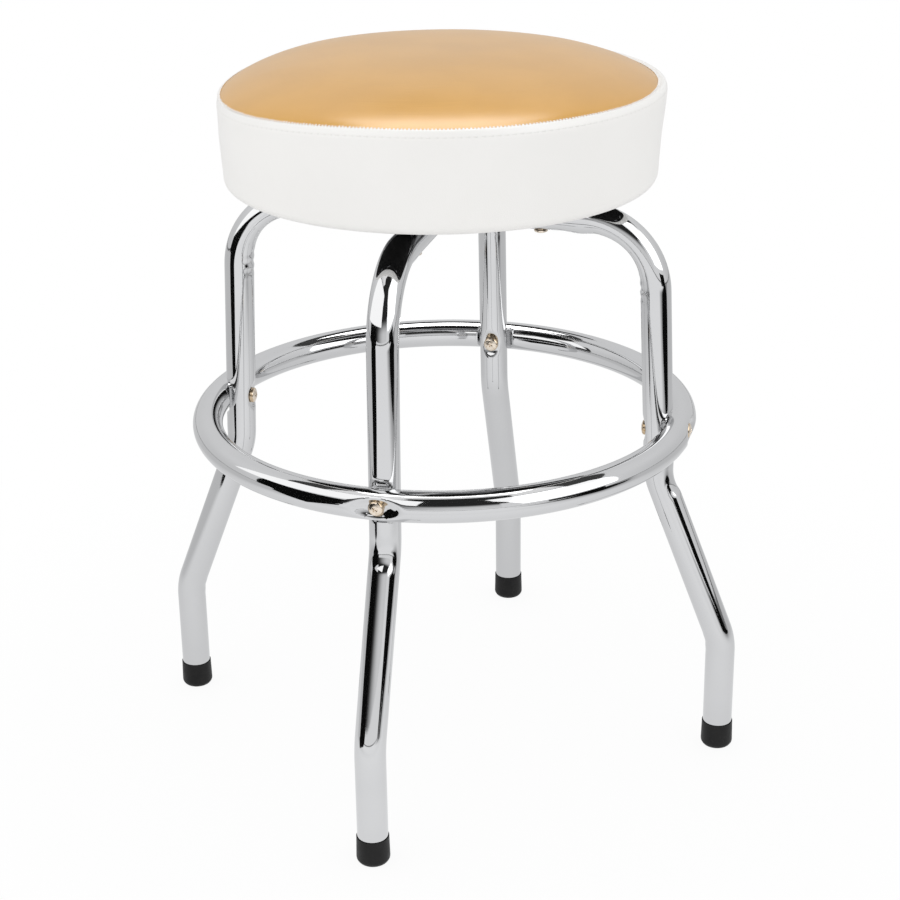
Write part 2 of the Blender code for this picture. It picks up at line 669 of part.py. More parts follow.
def seat_foam():
    """The cushion: crowned, drawn in at the seam, and carried down round the board's edge."""
    margin = VINYL_GAUGE + CLEARANCE
    outline = inset(crown_outline(), margin)
    neck = COVER_RADIUS - margin
    tuck_end = SEAM_HEIGHT - SEAM_TUCK - margin
    outline = [point for point in outline if point[0] < neck - margin]
    outline += [(neck, SEAM_HEIGHT - margin), (neck, tuck_end)]
    below = inset(band_outline(), margin)
    outline += [point for point in below if point[1] < tuck_end and point[0] > BOARD_RADIUS]
    recess = BOARD_RADIUS + CLEARANCE
    outline[-1] = (outline[-1][0], max(outline[-1][1], SEAT_BOTTOM + margin))
    outline += [(recess, outline[-1][1]), (recess, BOARD_TOP + CLEARANCE), (0, BOARD_TOP + CLEARANCE)]
    return turned("seat_foam", outline, SEAT_STEPS, FOAM)


def seat_top_cover():
    outline = crown_outline() + [(COVER_RADIUS, SEAM_HEIGHT - SEAM_TUCK)]
    item = turned("seat_top_cover", outline, SEAT_STEPS, GOLD_VINYL)
    thicken(item, VINYL_GAUGE)
    return item


def seat_side_band():
    hem_edge = DUST_RADIUS + HEM_TO_DUST
    item = turned("seat_side_band", band_outline() + [(hem_edge, SEAT_BOTTOM)], SEAT_STEPS, WHITE_VINYL)
    thicken(item, VINYL_GAUGE)
    return item


def carry(axis_name, pieces):
    """Hang moving pieces on an empty that sits on the axis they turn about."""
    axis = bpy.data.objects.new(axis_name, None)
    STOOL.objects.link(axis)
    axis.location.z = BALL_PLANE
    for item in pieces:
        item.parent = axis
        item.matrix_parent_inverse = at(0, 0, -BALL_PLANE)


def build():
    leg_frame("leg_frame_lower", 0.0, -1)
    leg_frame("leg_frame_upper", 90.0, 1)
    foot_ring()
    ring_fasteners()
    foot_caps()
    quarter_turned = at(0, 0, BALL_PLANE) @ Matrix.Rotation(math.pi / 4, 4, "Z")
    swivel_plate("lower_swivel_plate", quarter_turned)
    frame_bolts()
    carry("bearing_axis", bearing())
    upside_down = at(0, 0, BALL_PLANE) @ Matrix.Rotation(math.pi, 4, "X")
    seat = [swivel_plate("upper_swivel_plate", upside_down), swivel_rivet()]
    seat += [seat_board(), dust_cover(), seat_foam(), seat_top_cover(), seat_side_band()]
    carry("seat_axis", seat + seat_screws())


build()
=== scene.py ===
"""Looks of the swivel bar stool: crossed chrome tube frames, a foot ring and a gold and white vinyl seat.

Metres, +Z up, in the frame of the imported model. One leg points along each of -Y, +X, +Y and -X.
"""
import math
import random

import bmesh
import bpy
from mathutils import Matrix, Vector, noise


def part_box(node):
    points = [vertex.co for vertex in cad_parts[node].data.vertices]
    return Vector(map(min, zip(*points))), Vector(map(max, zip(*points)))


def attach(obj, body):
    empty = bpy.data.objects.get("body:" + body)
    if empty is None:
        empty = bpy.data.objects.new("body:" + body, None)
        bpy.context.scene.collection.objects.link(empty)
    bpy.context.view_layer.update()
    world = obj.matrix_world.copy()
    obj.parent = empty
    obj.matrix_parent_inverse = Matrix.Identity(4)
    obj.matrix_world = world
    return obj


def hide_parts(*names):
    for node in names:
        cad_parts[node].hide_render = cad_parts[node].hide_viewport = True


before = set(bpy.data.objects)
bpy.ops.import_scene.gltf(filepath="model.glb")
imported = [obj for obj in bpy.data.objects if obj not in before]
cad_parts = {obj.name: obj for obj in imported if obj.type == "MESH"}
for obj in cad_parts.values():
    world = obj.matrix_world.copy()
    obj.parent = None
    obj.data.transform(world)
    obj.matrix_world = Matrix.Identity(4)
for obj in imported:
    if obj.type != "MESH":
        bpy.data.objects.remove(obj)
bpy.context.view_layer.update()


def middle_of(node):
    low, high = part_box(node)
    return (low + high) / 2


def size_of(node):
    low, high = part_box(node)
    return high - low


# Camera, at the photograph's angle
CAMERA_PLACE = Vector((0.4136, -1.5608, 0.9311))
CAMERA_TARGET = Vector((0.0042, 0.0011, 0.2597))
CAMERA_ROLL = math.radians(-0.814)
CAMERA_LENS = 80.27
VIEW_AZIMUTH = 14.84

# Chrome tubes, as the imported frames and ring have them
TUBE_RADIUS = size_of("foot_ring").z / 2
FOOT_RADIUS = middle_of("foot_cap_right").x
RING_HEIGHT = middle_of("foot_ring").z
RING_RADIUS = 0.2033
RING_STANDOFF = 0.0173
LEG_RADIUS = RING_RADIUS - RING_STANDOFF
CONTACT_RADIUS = RING_RADIUS - RING_STANDOFF / 2
LEG_LEAN = math.radians(2.36)
ARM_HEIGHT = 0.4773
KNEE_HEIGHT = 0.2535
ANKLE_HEIGHT = 0.1040
TUBE_END = 0.0043
TOP_BEND_RADIUS = 0.0624
SMALL_BEND_RADIUS = 0.060
BEND_STEPS = 40
TUBE_BEVEL_RESOLUTION = 22
STATION_SPACING = 0.0022
RING_SPACING = 0.0012
CLEARANCE = 0.0003

# Where the tubes are pressed flat
PRESS_FLAT = 0.0136
PRESS_END = 0.0256
PRESS_EASE = 0.0010
LEG_DIMPLE_DEPTH = 0.0030
LEG_DIMPLE_FLAT = 0.0072
LEG_DIMPLE_END = 0.0150
RING_DIMPLE_DEPTH = 0.0060
RING_DIMPLE_FLAT = 0.0070
RING_DIMPLE_END = 0.0300
RING_DIMPLE_ASPECT = 1.9
RING_DIMPLE_EASE = 0.0030
CRUSHED_SHARE = 0.494
CRUSH_WIDENING = 1.325
CRUSH_FLAT = 0.0178
CRUSH_END = 0.0438

# Hollows left by the bending dies: middle, reach down, reach up and depth
TOP_HOLLOW = (0.042, 0.045, 0.050, 0.0026)
TOP_SWELLING = (0.096, 0.018, 0.022, -0.0018)
KNEE_HOLLOW = (-0.0030, 0.0100, 0.0270, 0.00165)

# Waves left by the bending dies: middle, spread, pitch and depth
TOP_WAVES = (0.004, 0.022, 0.0100, 0.00055)
ANKLE_WAVES = (0.012, 0.020, 0.0140, 0.00020)

# Fasteners. A screw is its head's radius and height and its shank's radius
RING_SCREW = (0.0062, 0.0040, 0.0024)
RING_BARREL = (0.0066, 0.0042, 0.0034)
FRAME_BOLT = (0.00575, 0.0028, 0.0030)
SEAT_SCREW_HEAD = 0.0026
SEAT_SCREW = (0.0050, SEAT_SCREW_HEAD, 0.0024)
RING_SCREW_SHANK = 0.0125
RING_BARREL_SHANK = 0.0230
RING_SCREW_SEAT = RING_RADIUS + TUBE_RADIUS - RING_DIMPLE_DEPTH + CLEARANCE
BARREL_SEAT = LEG_RADIUS - TUBE_RADIUS + LEG_DIMPLE_DEPTH - CLEARANCE
BOLT_CIRCLE = middle_of("frame_bolt_right").x
HEAD_SIDE = 0.35
HEAD_STEPS = 40
DOME_STEPS = 10
RECESS_LENGTH = 1.05
RECESS_GAUGE = 0.0011
RECESS_DEPTH = 0.0019
RECESS_TAPER = (0.45, 0.6)
TARNISHED_RIM = (0.80, 0.98)
NUT_CORNER = 0.00575
NUT_EASE = 0.0005
NUT_BORE = 0.0032
NUT_BORE_CUT = 0.02

# Foot caps
CAP_FLOOR = 0.004
CAP_LIP_EASE = 0.0004
CAP_FOOT_RISE = 0.0030
CAP_FOOT_TAPER = 0.0022
CAP_FOOT_EASE = 0.0018
CAP_STEPS = 72
TREAD_RADII = (0.0095, 0.0075, 0.0045)
TREAD_DEPTH = 0.0008

# Seat
SEAT_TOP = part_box("seat_top_cover")[1].z
SEAT_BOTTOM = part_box("seat_side_band")[0].z
VINYL_GAUGE = 0.0012
BAND_HEIGHT = 0.0800
SEAM_HEIGHT = SEAT_BOTTOM + BAND_HEIGHT
SEAM_RADIUS = 0.1778
COVER_GAP = 0.0005
COVER_RADIUS = SEAM_RADIUS - COVER_GAP
COVER_STEPS = 360
SEAM_TUCK = 0.008
LIP_RISE = 0.001
CROWN = SEAT_TOP - SEAM_HEIGHT
CROWN_FLATNESS = 2.3
CROWN_EDGE = 0.72
CROWN_STRAIGHT = 0.985
CROWN_STEPS = 56
TUCK_SHARES = (0.1, 0.3, 0.6, 1.0)
COVER_SLACK = 0.0012
COVER_SLACK_EDGE = 0.05
COVER_SLACK_SCALE = 9.0
COVER_SLACK_PLACE = Vector((3, 1, 2))
BAND_TOP_RADIUS = 0.1821
BAND_BOTTOM_RADIUS = 0.1781
BAND_BOTTOM_ROUND = 0.007
BAND_SHOULDER = 0.0070
BAND_STEPS = 400
BAND_FOLD = SEAM_RADIUS + VINYL_GAUGE
FOLD_START = 0.0005
FOLD_LEAN = 0.0003
FOLD_SHARE = 0.6
SHOULDER_STEPS = 20
SIDE_STEPS = 30
ROUND_STEPS = 10
HEM_STEPS = 6
BAND_SWELL = 0.0006
BAND_SWELL_SCALE = 14.0
SWELL_ABOVE = (0.002, 0.012)
SWELL_BELOW = (0.004, 0.030)
HEM_EDGE = 0.1571
HEM_PLEATED = (0.1740, 0.1670)
HEM_RISE = 0.002
PLEAT_COUNT = 46
PLEAT_WANDER = 5
PLEAT_SCALE = 3
PLEAT_DEPTH = 0.0007
STITCH_SHAPE = (0.00030, 0.0021, 0.00034)
STITCH_SINK = 0.00012
STITCH_TILT = 4
STITCH_DROP = 0.0044
STITCH_PITCH = 0.0058
STITCH_COUNT = round(2 * math.pi * BAND_TOP_RADIUS / STITCH_PITCH)
STITCH_ROW_HALF = 0.0009
GATHER_COUNT = 2 * STITCH_COUNT
GATHER_RISE = 0.0008
GATHER_LEAN = math.radians(32)
GATHER_SHAPE = (0.0024, 0.0009, 0.0005)
GATHER_STRAY = 0.06
GATHER_SIZES = (0.7, 1.0)
FULLEST_GATHERS = math.radians(-150)
LEAST_GATHERS = 0.60
JOIN_HALF = 0.0011
PUCKER_COUNT = 196
DUST_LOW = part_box("dust_cover")[0].z
DUST_GAUGE = size_of("dust_cover").z
CLOTH_EDGE = 0.1660
CLOTH_STEP = (0.1545, 0.1585)
CLOTH_UNDER_HEM = SEAT_BOTTOM - 0.0016
CLOTH_RINGS = 48
CLOTH_STEPS = 160
CLOTH_SLACK = 0.0009
CLOTH_SLACK_SCALE = 26.0
CLOTH_SLACK_START = (0.108, 0.125)
CLOTH_SLACK_END = (0.150, 0.140)
STAPLE_COUNT = 32
STAPLE_CIRCLE = 0.1615
STAPLE_SHAPE = (0.0011, 0.0100, 0.0012)
STAPLE_EASE = 0.0003
STAPLE_HEIGHT = CLOTH_UNDER_HEM - 0.0003
STAPLE_STRAY = 0.2
STAPLE_SKEW = 12

# How the hand-sewn seam lies: low toward one side, and off the middle of the band
SEAM_SIDE = Matrix.Rotation(math.radians(VIEW_AZIMUTH), 3, "Z") @ Vector((1, 0, 0))
LOW_SIDE = Matrix.Rotation(math.radians(188), 3, "Z") @ SEAM_SIDE
LOW_SIDE_SAG = 0.0082
LOW_SIDE_START = 0.35
HIGH_SIDE_SAG = 0.0022
HIGH_SIDE_REACH = (0.55, 1.05)
COVER_DRIFT = -0.0008
BAND_DRIFT = 0.00175
SETTLED_BELOW = (0.055, 0.006)

# Swivel
BALL_PLANE = middle_of("ball_cage").z
BALL_CIRCLE = 0.040
PLATE_SIDE = 0.150
PLATE_CORNER = 0.012
PLATE_GAUGE = 0.0020
PLATE_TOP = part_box("upper_swivel_plate")[1].z - BALL_PLANE - PLATE_GAUGE
WEB_LEVEL = 0.00205
RACE_FLOOR = 0.00385
RACE_HALF = 0.0041
RACE_FLOOR_SHARE = 0.7
WEB_EDGE = 0.0024
WEB_FOOT = 0.0064
FLANGE_START = 0.066
PRESSING_EASE = 0.0016
PLATE_STEPS = 128
PLATE_HOLE = 0.0033
PLATE_HOLE_CUT = 0.008
RIVET_RADIUS = 0.012
RIVET_PLAY = 0.00035
RIVET_WALL = 0.002
RIVET_FLANGE = 0.006
RIVET_FLANGE_GAUGE = 0.0014
RIVET_EASE = 0.0006
RIVET_STEPS = 64

RIM = "rim"
SEWN_HEIGHT = "sewn_height"
WELD = 0.000005
CUT_WELD = 0.00002
HARD_EDGE = math.radians(38)
LEG_AZIMUTHS = {"front": -90.0, "right": 0.0, "back": 90.0, "left": 180.0}
UPSIDE_DOWN = Matrix.Rotation(math.pi, 4, "X")
CHANCE = random.Random(7)


class Shade:
    """A node's output that Python's operators turn into Math nodes."""

    def __init__(self, finish, output):
        self.finish = finish
        self.output = output

    def math(self, operation, *values):
        return self.finish.node("Math", {"operation": operation}, dict(enumerate(values)))

    def __add__(self, other):
        return self.math("ADD", self, other)

    def __sub__(self, other):
        return self.math("SUBTRACT", self, other)

    def __rsub__(self, other):
        return self.math("SUBTRACT", other, self)

    def __mul__(self, other):
        return self.math("MULTIPLY", self, other)

    def __truediv__(self, other):
        return self.math("DIVIDE", self, other)

    def __pow__(self, other):
        return self.math("POWER", self, other)

    __radd__ = __add__
    __rmul__ = __mul__

    def ramp(self, start, end, low=0.0, high=1.0):
        """This value carried smoothly from one range to another."""
        sockets = {"Value": self, "From Min": start, "From Max": end, "To Min": low, "To Max": high}
        return self.finish.node("MapRange", {"interpolation_type": "SMOOTHSTEP"}, sockets)

    def cosine(self):
        return self.math("COSINE", self)

    def absolute(self):
        return self.math("ABSOLUTE", self)


class Finish:
    """A material, or the world, built a node at a time."""

    def __init__(self, owner):
        self.owner = owner
        owner.use_nodes = True
        self.tree = owner.node_tree
        self.place = self.node("TexCoord", output="Object")

    def node(self, kind, settings=None, sockets=None, output=0):
        """Add a node, set it up, fill its sockets with values or links, and return one of its outputs."""
        item = self.tree.nodes.new("ShaderNode" + kind)
        for name, value in (settings or {}).items():
            setattr(item, name, value)
        for name, value in (sockets or {}).items():
            self.fill(self.socket(item.inputs, name), value)
        return Shade(self, self.socket(item.outputs, output))

    def socket(self, sockets, name):
        """A socket by its place, or by its name or identifier."""
        if isinstance(name, int):
            return sockets[name]
        return next(socket for socket in sockets if name in (socket.identifier, socket.name))

    def fill(self, socket, value):
        if isinstance(value, Shade):
            self.tree.links.new(value.output, socket)
        else:
            socket.default_value = value

    def surface(self, **sockets):
        """Fill the shader's own sockets, named with _ for a space."""
        shader = self.tree.nodes["Principled BSDF"]
        for name, value in sockets.items():
            self.fill(shader.inputs[name.replace("_", " ")], value)
        return self.owner

    def noise(self, scale, detail=2.0, roughness=0.5, place=None):
        sockets = {"Vector": place or self.place, "Scale": scale, "Detail": detail, "Roughness": roughness}
        return self.node("TexNoise", None, sockets)

    def stretched(self, scale):
        """Object coordinates scaled by a different amount along each axis."""
        return self.node("Mapping", None, {"Vector": self.place, "Scale": scale})

    def cells(self, scale, feature="F1"):
        return self.node("TexVoronoi", {"feature": feature}, {"Vector": self.place, "Scale": scale})

    def axes(self):
        return [self.node("SeparateXYZ", None, {0: self.place}, output=axis) for axis in "XYZ"]

    def around(self):
        """The angle about the stool's axis and the distance from it."""
        across, along, up = self.axes()
        return across.math("ARCTAN2", along, across), (across * across + along * along) ** 0.5

    def mix(self, share, first, second):
        """A colour between two, each a colour or another mix."""
        first, second = [end if isinstance(end, Shade) else (*end, 1.0) for end in (first, second)]
        sockets = {"Factor_Float": share, "A_Color": first, "B_Color": second}
        return self.node("Mix", {"data_type": "RGBA"}, sockets, output="Result_Color")

    def bump(self, height, distance, strength=1.0):
        sockets = {"Height": height, "Distance": distance, "Strength": strength}
        return self.node("Bump", None, sockets, output="Normal")


def new_finish(name):
    return Finish(bpy.data.materials.new(name))


def chrome_finish():
    """Bright plating with faint hand marks and the slight ripple of drawn tube."""
    finish = new_finish("chrome_plate")
    smudge = finish.noise(46.0, 5.0, 0.62).ramp(0.52, 0.78)
    haze = finish.noise(9.0, 3.0).ramp(0.45, 0.75)
    colour = finish.mix(haze, (0.655, 0.657, 0.662), (0.690, 0.691, 0.695))
    ripple = finish.noise(48.0, 1.0)
    return finish.surface(Base_Color=colour, Metallic=1.0, Roughness=0.050 + 0.05 * smudge * haze,
                          Normal=finish.bump(ripple, 0.00012, 0.16))


def nickel_finish():
    """The warm plating of the screws and nuts, browner round each head's rim."""
    finish = new_finish("warm_nickel")
    tarnish = finish.noise(520.0, 4.0).ramp(0.40, 0.70)
    rim = finish.node("Attribute", {"attribute_name": RIM}, output="Fac")
    colour = finish.mix(0.35 * tarnish + 0.60 * rim, (0.86, 0.77, 0.66), (0.46, 0.31, 0.15))
    scratches = finish.noise(1.0, 3.0, place=finish.stretched((900.0, 900.0, 5200.0)))
    return finish.surface(Base_Color=colour, Metallic=1.0, Roughness=0.15 + 0.10 * tarnish,
                          Normal=finish.bump(scratches, 0.00004, 0.3))


def zinc_finish():
    """Dull pressed steel with a faint spangle, its dark grey partly its own and partly painted shade under
    the seat.
    """
    finish = new_finish("zinc_plate")
    spangle = finish.cells(190.0)
    cloud = finish.noise(28.0, 4.0).ramp(0.35, 0.70)
    # These dark greys also paint the shade under the seat.
    colour = finish.mix(cloud, (0.36, 0.36, 0.37), (0.25, 0.25, 0.25))
    return finish.surface(Base_Color=colour, Metallic=1.0, Roughness=0.27 + 0.10 * cloud + 0.08 * spangle,
                          Normal=finish.bump(finish.noise(700.0, 3.0), 0.00008, 0.5))


def steel_finish():
    """Greased bearing balls."""
    finish = new_finish("ball_steel")
    grease = finish.noise(240.0, 3.0).ramp(0.45, 0.65)
    colour = finish.mix(grease, (0.62, 0.62, 0.63), (0.42, 0.39, 0.33))
    return finish.surface(Base_Color=colour, Metallic=1.0, Roughness=0.08 + 0.25 * grease)


def plastic_finish():
    """The bearing's moulded cage."""
    finish = new_finish("cage_plastic")
    grease = finish.noise(160.0, 3.0)
    colour = finish.mix(grease, (0.018, 0.018, 0.020), (0.045, 0.043, 0.040))
    return finish.surface(Base_Color=colour, Roughness=0.40 + 0.25 * grease,
                          Normal=finish.bump(finish.noise(1500.0), 0.00005))


def rubber_finish():
    """Moulded black rubber, paler where it scuffs on the floor."""
    finish = new_finish("black_rubber")
    across, along, up = finish.axes()
    scuff = finish.noise(420.0, 5.0, 0.65).ramp(0.45, 0.80) * up.ramp(0.008, 0.0)
    bloom = finish.noise(120.0, 4.0).ramp(0.30, 0.75)
    colour = finish.mix(0.35 * bloom + scuff, (0.0036, 0.0036, 0.0038), (0.024, 0.023, 0.022))
    rough = 0.44 + 0.14 * bloom + 0.15 * scuff
    return finish.surface(Base_Color=colour, Roughness=rough, Specular_IOR_Level=0.24,
                          Normal=finish.bump(finish.noise(2200.0, 3.0), 0.00010, 0.5))


def gold_finish():
    """Metallic gold vinyl: fine grain, drawn into small puckers along the seam, with soft creases."""
    finish = new_finish("gold_vinyl")
    turn, radius = finish.around()
    grain = finish.cells(1250.0, "DISTANCE_TO_EDGE").ramp(0.0, 0.25)
    flake = finish.noise(2600.0, 2.0)
    cloud = finish.noise(13.0, 4.0, 0.55).ramp(0.32, 0.70)
    arcs = {0: 0.9 * turn.cosine(), 1: 0.9 * turn.math("SINE", turn), 2: 55.0 * radius}
    crease = finish.noise(1.6, 3.0, 0.55, place=finish.node("CombineXYZ", None, arcs)).ramp(0.52, 0.66)
    drift = finish.noise(34.0, 2.0)
    pucker = (PUCKER_COUNT * turn + 9.0 * drift).cosine()
    gathered = finish.noise(26.0, 2.0).ramp(0.40, 0.65)
    near_seam = radius.ramp(COVER_RADIUS - 0.0065, COVER_RADIUS - 0.0005) * gathered
    colour = finish.mix(cloud, (0.632, 0.330, 0.057), (0.678, 0.364, 0.072))
    heights = 0.10 * grain + 0.40 * crease + 0.28 * near_seam * pucker
    return finish.surface(Base_Color=colour, Metallic=0.03, Roughness=0.55 + 0.05 * flake + 0.05 * cloud,
                          Specular_IOR_Level=0.05, Coat_Weight=1.0, Coat_IOR=1.5, Coat_Roughness=0.28,
                          Normal=finish.bump(heights, 0.00045))


def white_finish():
    """Soft white vinyl: almost smooth, pulled in at each stitch, joined once at the back."""
    finish = new_finish("white_vinyl")
    turn, radius = finish.around()
    across, along, up = finish.axes()
    grain = finish.cells(1000.0, "DISTANCE_TO_EDGE").ramp(0.0, 0.30)
    cloud = finish.noise(17.0, 4.0).ramp(0.30, 0.75)
    sewn = finish.node("Attribute", {"attribute_name": SEWN_HEIGHT}, output="Fac")
    row = ((sewn - (SEAM_HEIGHT - STITCH_DROP)) / STITCH_ROW_HALF).absolute().ramp(1.0, 0.0)
    hole = row * (STITCH_COUNT * turn).cosine().ramp(-0.35, -1.0)
    # The band's colour is drawn darker towards its bottom edge.
    darker_toward_bottom = up.ramp(SEAT_BOTTOM + 0.016, SEAT_BOTTOM) * finish.noise(60.0, 4.0)
    clean = finish.mix(0.55 * cloud + 0.45 * darker_toward_bottom, (0.868, 0.860, 0.842), (0.842, 0.832, 0.810))
    # Each needle hole is painted darker: painted shade inside the hole.
    colour = finish.mix(0.20 * hole, clean, (0.42, 0.41, 0.39))
    join = ((turn - math.pi / 2) * (BAND_TOP_RADIUS / JOIN_HALF)).absolute().ramp(1.0, 0.0)
    heights = 0.05 * grain - 0.10 * row - 0.20 * hole - join
    return finish.surface(Base_Color=colour, Roughness=0.40 + 0.08 * cloud,
                          Normal=finish.bump(heights, 0.00045))


def thread_finish():
    """Twisted white sewing thread."""
    finish = new_finish("white_thread")
    across, along, up = finish.axes()
    twist = ((across + along + 2.0 * up) * 5200.0).cosine()
    colour = finish.mix(finish.noise(300.0), (0.83, 0.82, 0.80), (0.87, 0.86, 0.84))
    return finish.surface(Base_Color=colour, Roughness=0.75, Normal=finish.bump(twist, 0.00008))


def cloth_finish():
    """Black spun cloth tacked under the seat, its near-black partly its own and partly painted shade under
    the seat.
    """
    finish = new_finish("dust_cloth")
    fibres = finish.noise(1.0, 6.0, 0.7, place=finish.stretched((1500.0, 500.0, 800.0)))
    crossed = finish.noise(1.0, 6.0, 0.7, place=finish.stretched((480.0, 1500.0, 800.0)))
    felt = 0.5 * fibres + 0.5 * crossed
    # The near-black also paints the shade under the seat.
    colour = finish.mix(felt.ramp(0.35, 0.70), (0.004, 0.004, 0.004), (0.020, 0.020, 0.020))
    return finish.surface(Base_Color=colour, Roughness=0.92, Specular_IOR_Level=0.06,
                          Normal=finish.bump(felt, 0.00035))


def plywood_finish():
    """Birch plies, seen on the board's edge as bands."""
    finish = new_finish("plywood")
    across, along, up = finish.axes()
    plies = (up * (2 * math.pi / 0.003)).cosine().ramp(-0.3, 0.3)
    grain = finish.noise(1.0, 5.0, 0.6, place=finish.stretched((14.0, 160.0, 60.0)))
    colour = finish.mix(0.6 * plies + 0.4 * grain, (0.46, 0.30, 0.16), (0.66, 0.47, 0.28))
    return finish.surface(Base_Color=colour, Roughness=0.60 + 0.15 * grain,
                          Normal=finish.bump(grain, 0.0002))


def smooth_step(start, end, value):
    share = min(max((value - start) / (end - start), 0.0), 1.0)
    return share * share * (3 - 2 * share)


def mix(first, second, share):
    return first + (second - first) * share


def soft_least(first, second, ease):
    """The lesser of two lengths with the corner between them eased, and never above either."""
    overlap = max(ease - abs(first - second), 0.0) / ease
    return min(first, second) - overlap * overlap * ease / 4


def soft_most(first, second, ease):
    return -soft_least(-first, -second, ease)


def about_z(degrees):
    return Matrix.Rotation(math.radians(degrees), 4, "Z")


def off_axis(place):
    """How far a place lies from the stool's axis."""
    return math.hypot(place.x, place.y)


def in_scene(name, data):
    item = bpy.data.objects.new(name, data)
    bpy.context.scene.collection.objects.link(item)
    return item


def coat(mesh, finish):
    mesh.materials.clear()
    mesh.materials.append(finish)


def shown(name, mesh, finish):
    coat(mesh, finish)
    return in_scene(name, mesh)


def mesh_from(name, work):
    mesh = bpy.data.meshes.new(name)
    work.to_mesh(mesh)
    work.free()
    return mesh


def piece(name, work, finish, body, nodes=()):
    """Make a bmesh a piece that rides on a body and stands for CAD nodes."""
    bmesh.ops.remove_doubles(work, verts=work.verts, dist=WELD)
    bmesh.ops.recalc_face_normals(work, faces=work.faces)
    mesh = mesh_from(name, work)
    mesh.shade_smooth()
    mesh.set_sharp_from_angle(angle=HARD_EDGE)
    item = shown(name, mesh, finish)
    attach(item, body)
    if nodes:
        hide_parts(*nodes)
    return item


def solid_mesh(item):
    """The object's mesh with its modifiers applied, and the object removed."""
    bpy.context.view_layer.update()
    graph = bpy.context.evaluated_depsgraph_get()
    mesh = bpy.data.meshes.new_from_object(item.evaluated_get(graph))
    bpy.data.objects.remove(item, do_unlink=True)
    return mesh


def work_from(mesh):
    work = bmesh.new()
    work.from_mesh(mesh)
    return work


def moved(work, place):
    bmesh.ops.transform(work, matrix=place, verts=work.verts)
    return work


def thicken(work, gauge, up=1):
    """Give a sheet its gauge, after turning its faces up, or down for -1."""
    if up * sum(face.normal.z for face in work.faces) < 0:
        bmesh.ops.reverse_faces(work, faces=work.faces)
    bmesh.ops.solidify(work, geom=work.faces, thickness=gauge)


def eased(outline, ease, steps=4):
    """An outline with each of its inner corners rounded."""
    result = [Vector(outline[0])]
    for before, corner, after in zip(outline, outline[1:], outline[2:]):
        corner = Vector(corner)
        back = Vector(before) - corner
        onward = Vector(after) - corner
        start = corner + back.normalized() * min(ease, back.length * 0.45)
        end = corner + onward.normalized() * min(ease, onward.length * 0.45)
        for step in range(steps + 1):
            share = step / steps
            result.append(start.lerp(corner, share).lerp(corner.lerp(end, share), share))
    return result + [Vector(outline[-1])]


def turned(outline, steps):
    """An outline of (radius, height) points spun about Z."""
    work = bmesh.new()
    points = [work.verts.new((radius, 0, height)) for radius, height in outline]
    lines = [work.edges.new(pair) for pair in zip(points, points[1:])]
    bmesh.ops.spin(work, geom=points + lines, axis=(0, 0, 1), cent=(0, 0, 0), angle=2 * math.pi,
                   steps=steps, use_merge=True)
    bmesh.ops.remove_doubles(work, verts=work.verts, dist=WELD)
    bmesh.ops.recalc_face_normals(work, faces=work.faces)
    return work


def tube(points, cyclic=False):
    """A round tube along 3-D points."""
    curve = bpy.data.curves.new("tube", "CURVE")
    curve.dimensions = "3D"
    curve.bevel_depth = TUBE_RADIUS
    curve.bevel_resolution = TUBE_BEVEL_RESOLUTION
    curve.use_fill_caps = not cyclic
    spline = curve.splines.new("POLY")
    spline.points.add(len(points) - 1)
    for place, point in zip(spline.points, points):
        place.co = (*point, 1.0)
    spline.use_cyclic_u = cyclic
    return work_from(solid_mesh(in_scene("tube", curve)))


class Bend:
    """An arc that rounds a corner of a flat path, and the crimps on its inner side."""

    def __init__(self, before, corner, after, radius):
        inward = (before - corner).normalized()
        onward = (after - corner).normalized()
        half = inward.angle(onward) / 2
        self.radius = radius
        self.centre = corner + (inward + onward).normalized() * radius / math.sin(half)
        first = corner + inward * radius / math.tan(half) - self.centre
        last = corner + onward * radius / math.tan(half) - self.centre
        self.start = math.atan2(first.y, first.x)
        self.sweep = math.remainder(math.atan2(last.y, last.x) - self.start, 2 * math.pi)

    def points(self):
        angles = [self.start + self.sweep * step / BEND_STEPS for step in range(BEND_STEPS + 1)]
        return [self.centre + self.radius * Vector((math.cos(angle), math.sin(angle))) for angle in angles]

    def run_and_depth(self, place):
        """How far along the bend a point lies, and how near to its inner side, from 0 to 1."""
        offset = place - self.centre
        turn = math.remainder(math.atan2(offset.y, offset.x) - self.start, 2 * math.pi)
        inner = min(max((self.radius - offset.length) / TUBE_RADIUS, 0.0), 1.0)
        return math.copysign(turn, turn * self.sweep) * self.radius, inner

    def sunk(self, place, depth):
        """The point moved away from the bend's centre, into the tube."""
        return place + (place - self.centre).normalized() * depth

    def crimp(self, place, middle, spread, pitch, depth):
        """Waves along the inner side of the bend."""
        run, inner = self.run_and_depth(place)
        fade = max(1 - ((run - middle) / spread) ** 2, 0.0) ** 2
        return self.sunk(place, depth * inner ** 3 * fade * math.cos(2 * math.pi * (run - middle) / pitch))

    def dent(self, place, middle, below, above, depth):
        """One long hollow along the inner side, with its own reach down and up the leg."""
        run, inner = self.run_and_depth(place)
        away = (run - middle) / (above if run > middle else below)
        return self.sunk(place, depth * inner ** 2 * max(1 - away * away, 0.0) ** 2)


def leg_corners():
    """The corners of half a frame's path, from foot to middle, as (reach, height)."""
    lean = math.tan(LEG_LEAN)
    knee = LEG_RADIUS + (RING_HEIGHT - KNEE_HEIGHT) * lean
    shoulder = LEG_RADIUS + (RING_HEIGHT - ARM_HEIGHT) * lean
    corners = [(FOOT_RADIUS, TUBE_END), (FOOT_RADIUS, ANKLE_HEIGHT), (knee, KNEE_HEIGHT)]
    return [Vector(corner) for corner in corners + [(shoulder, ARM_HEIGHT), (0, ARM_HEIGHT)]]


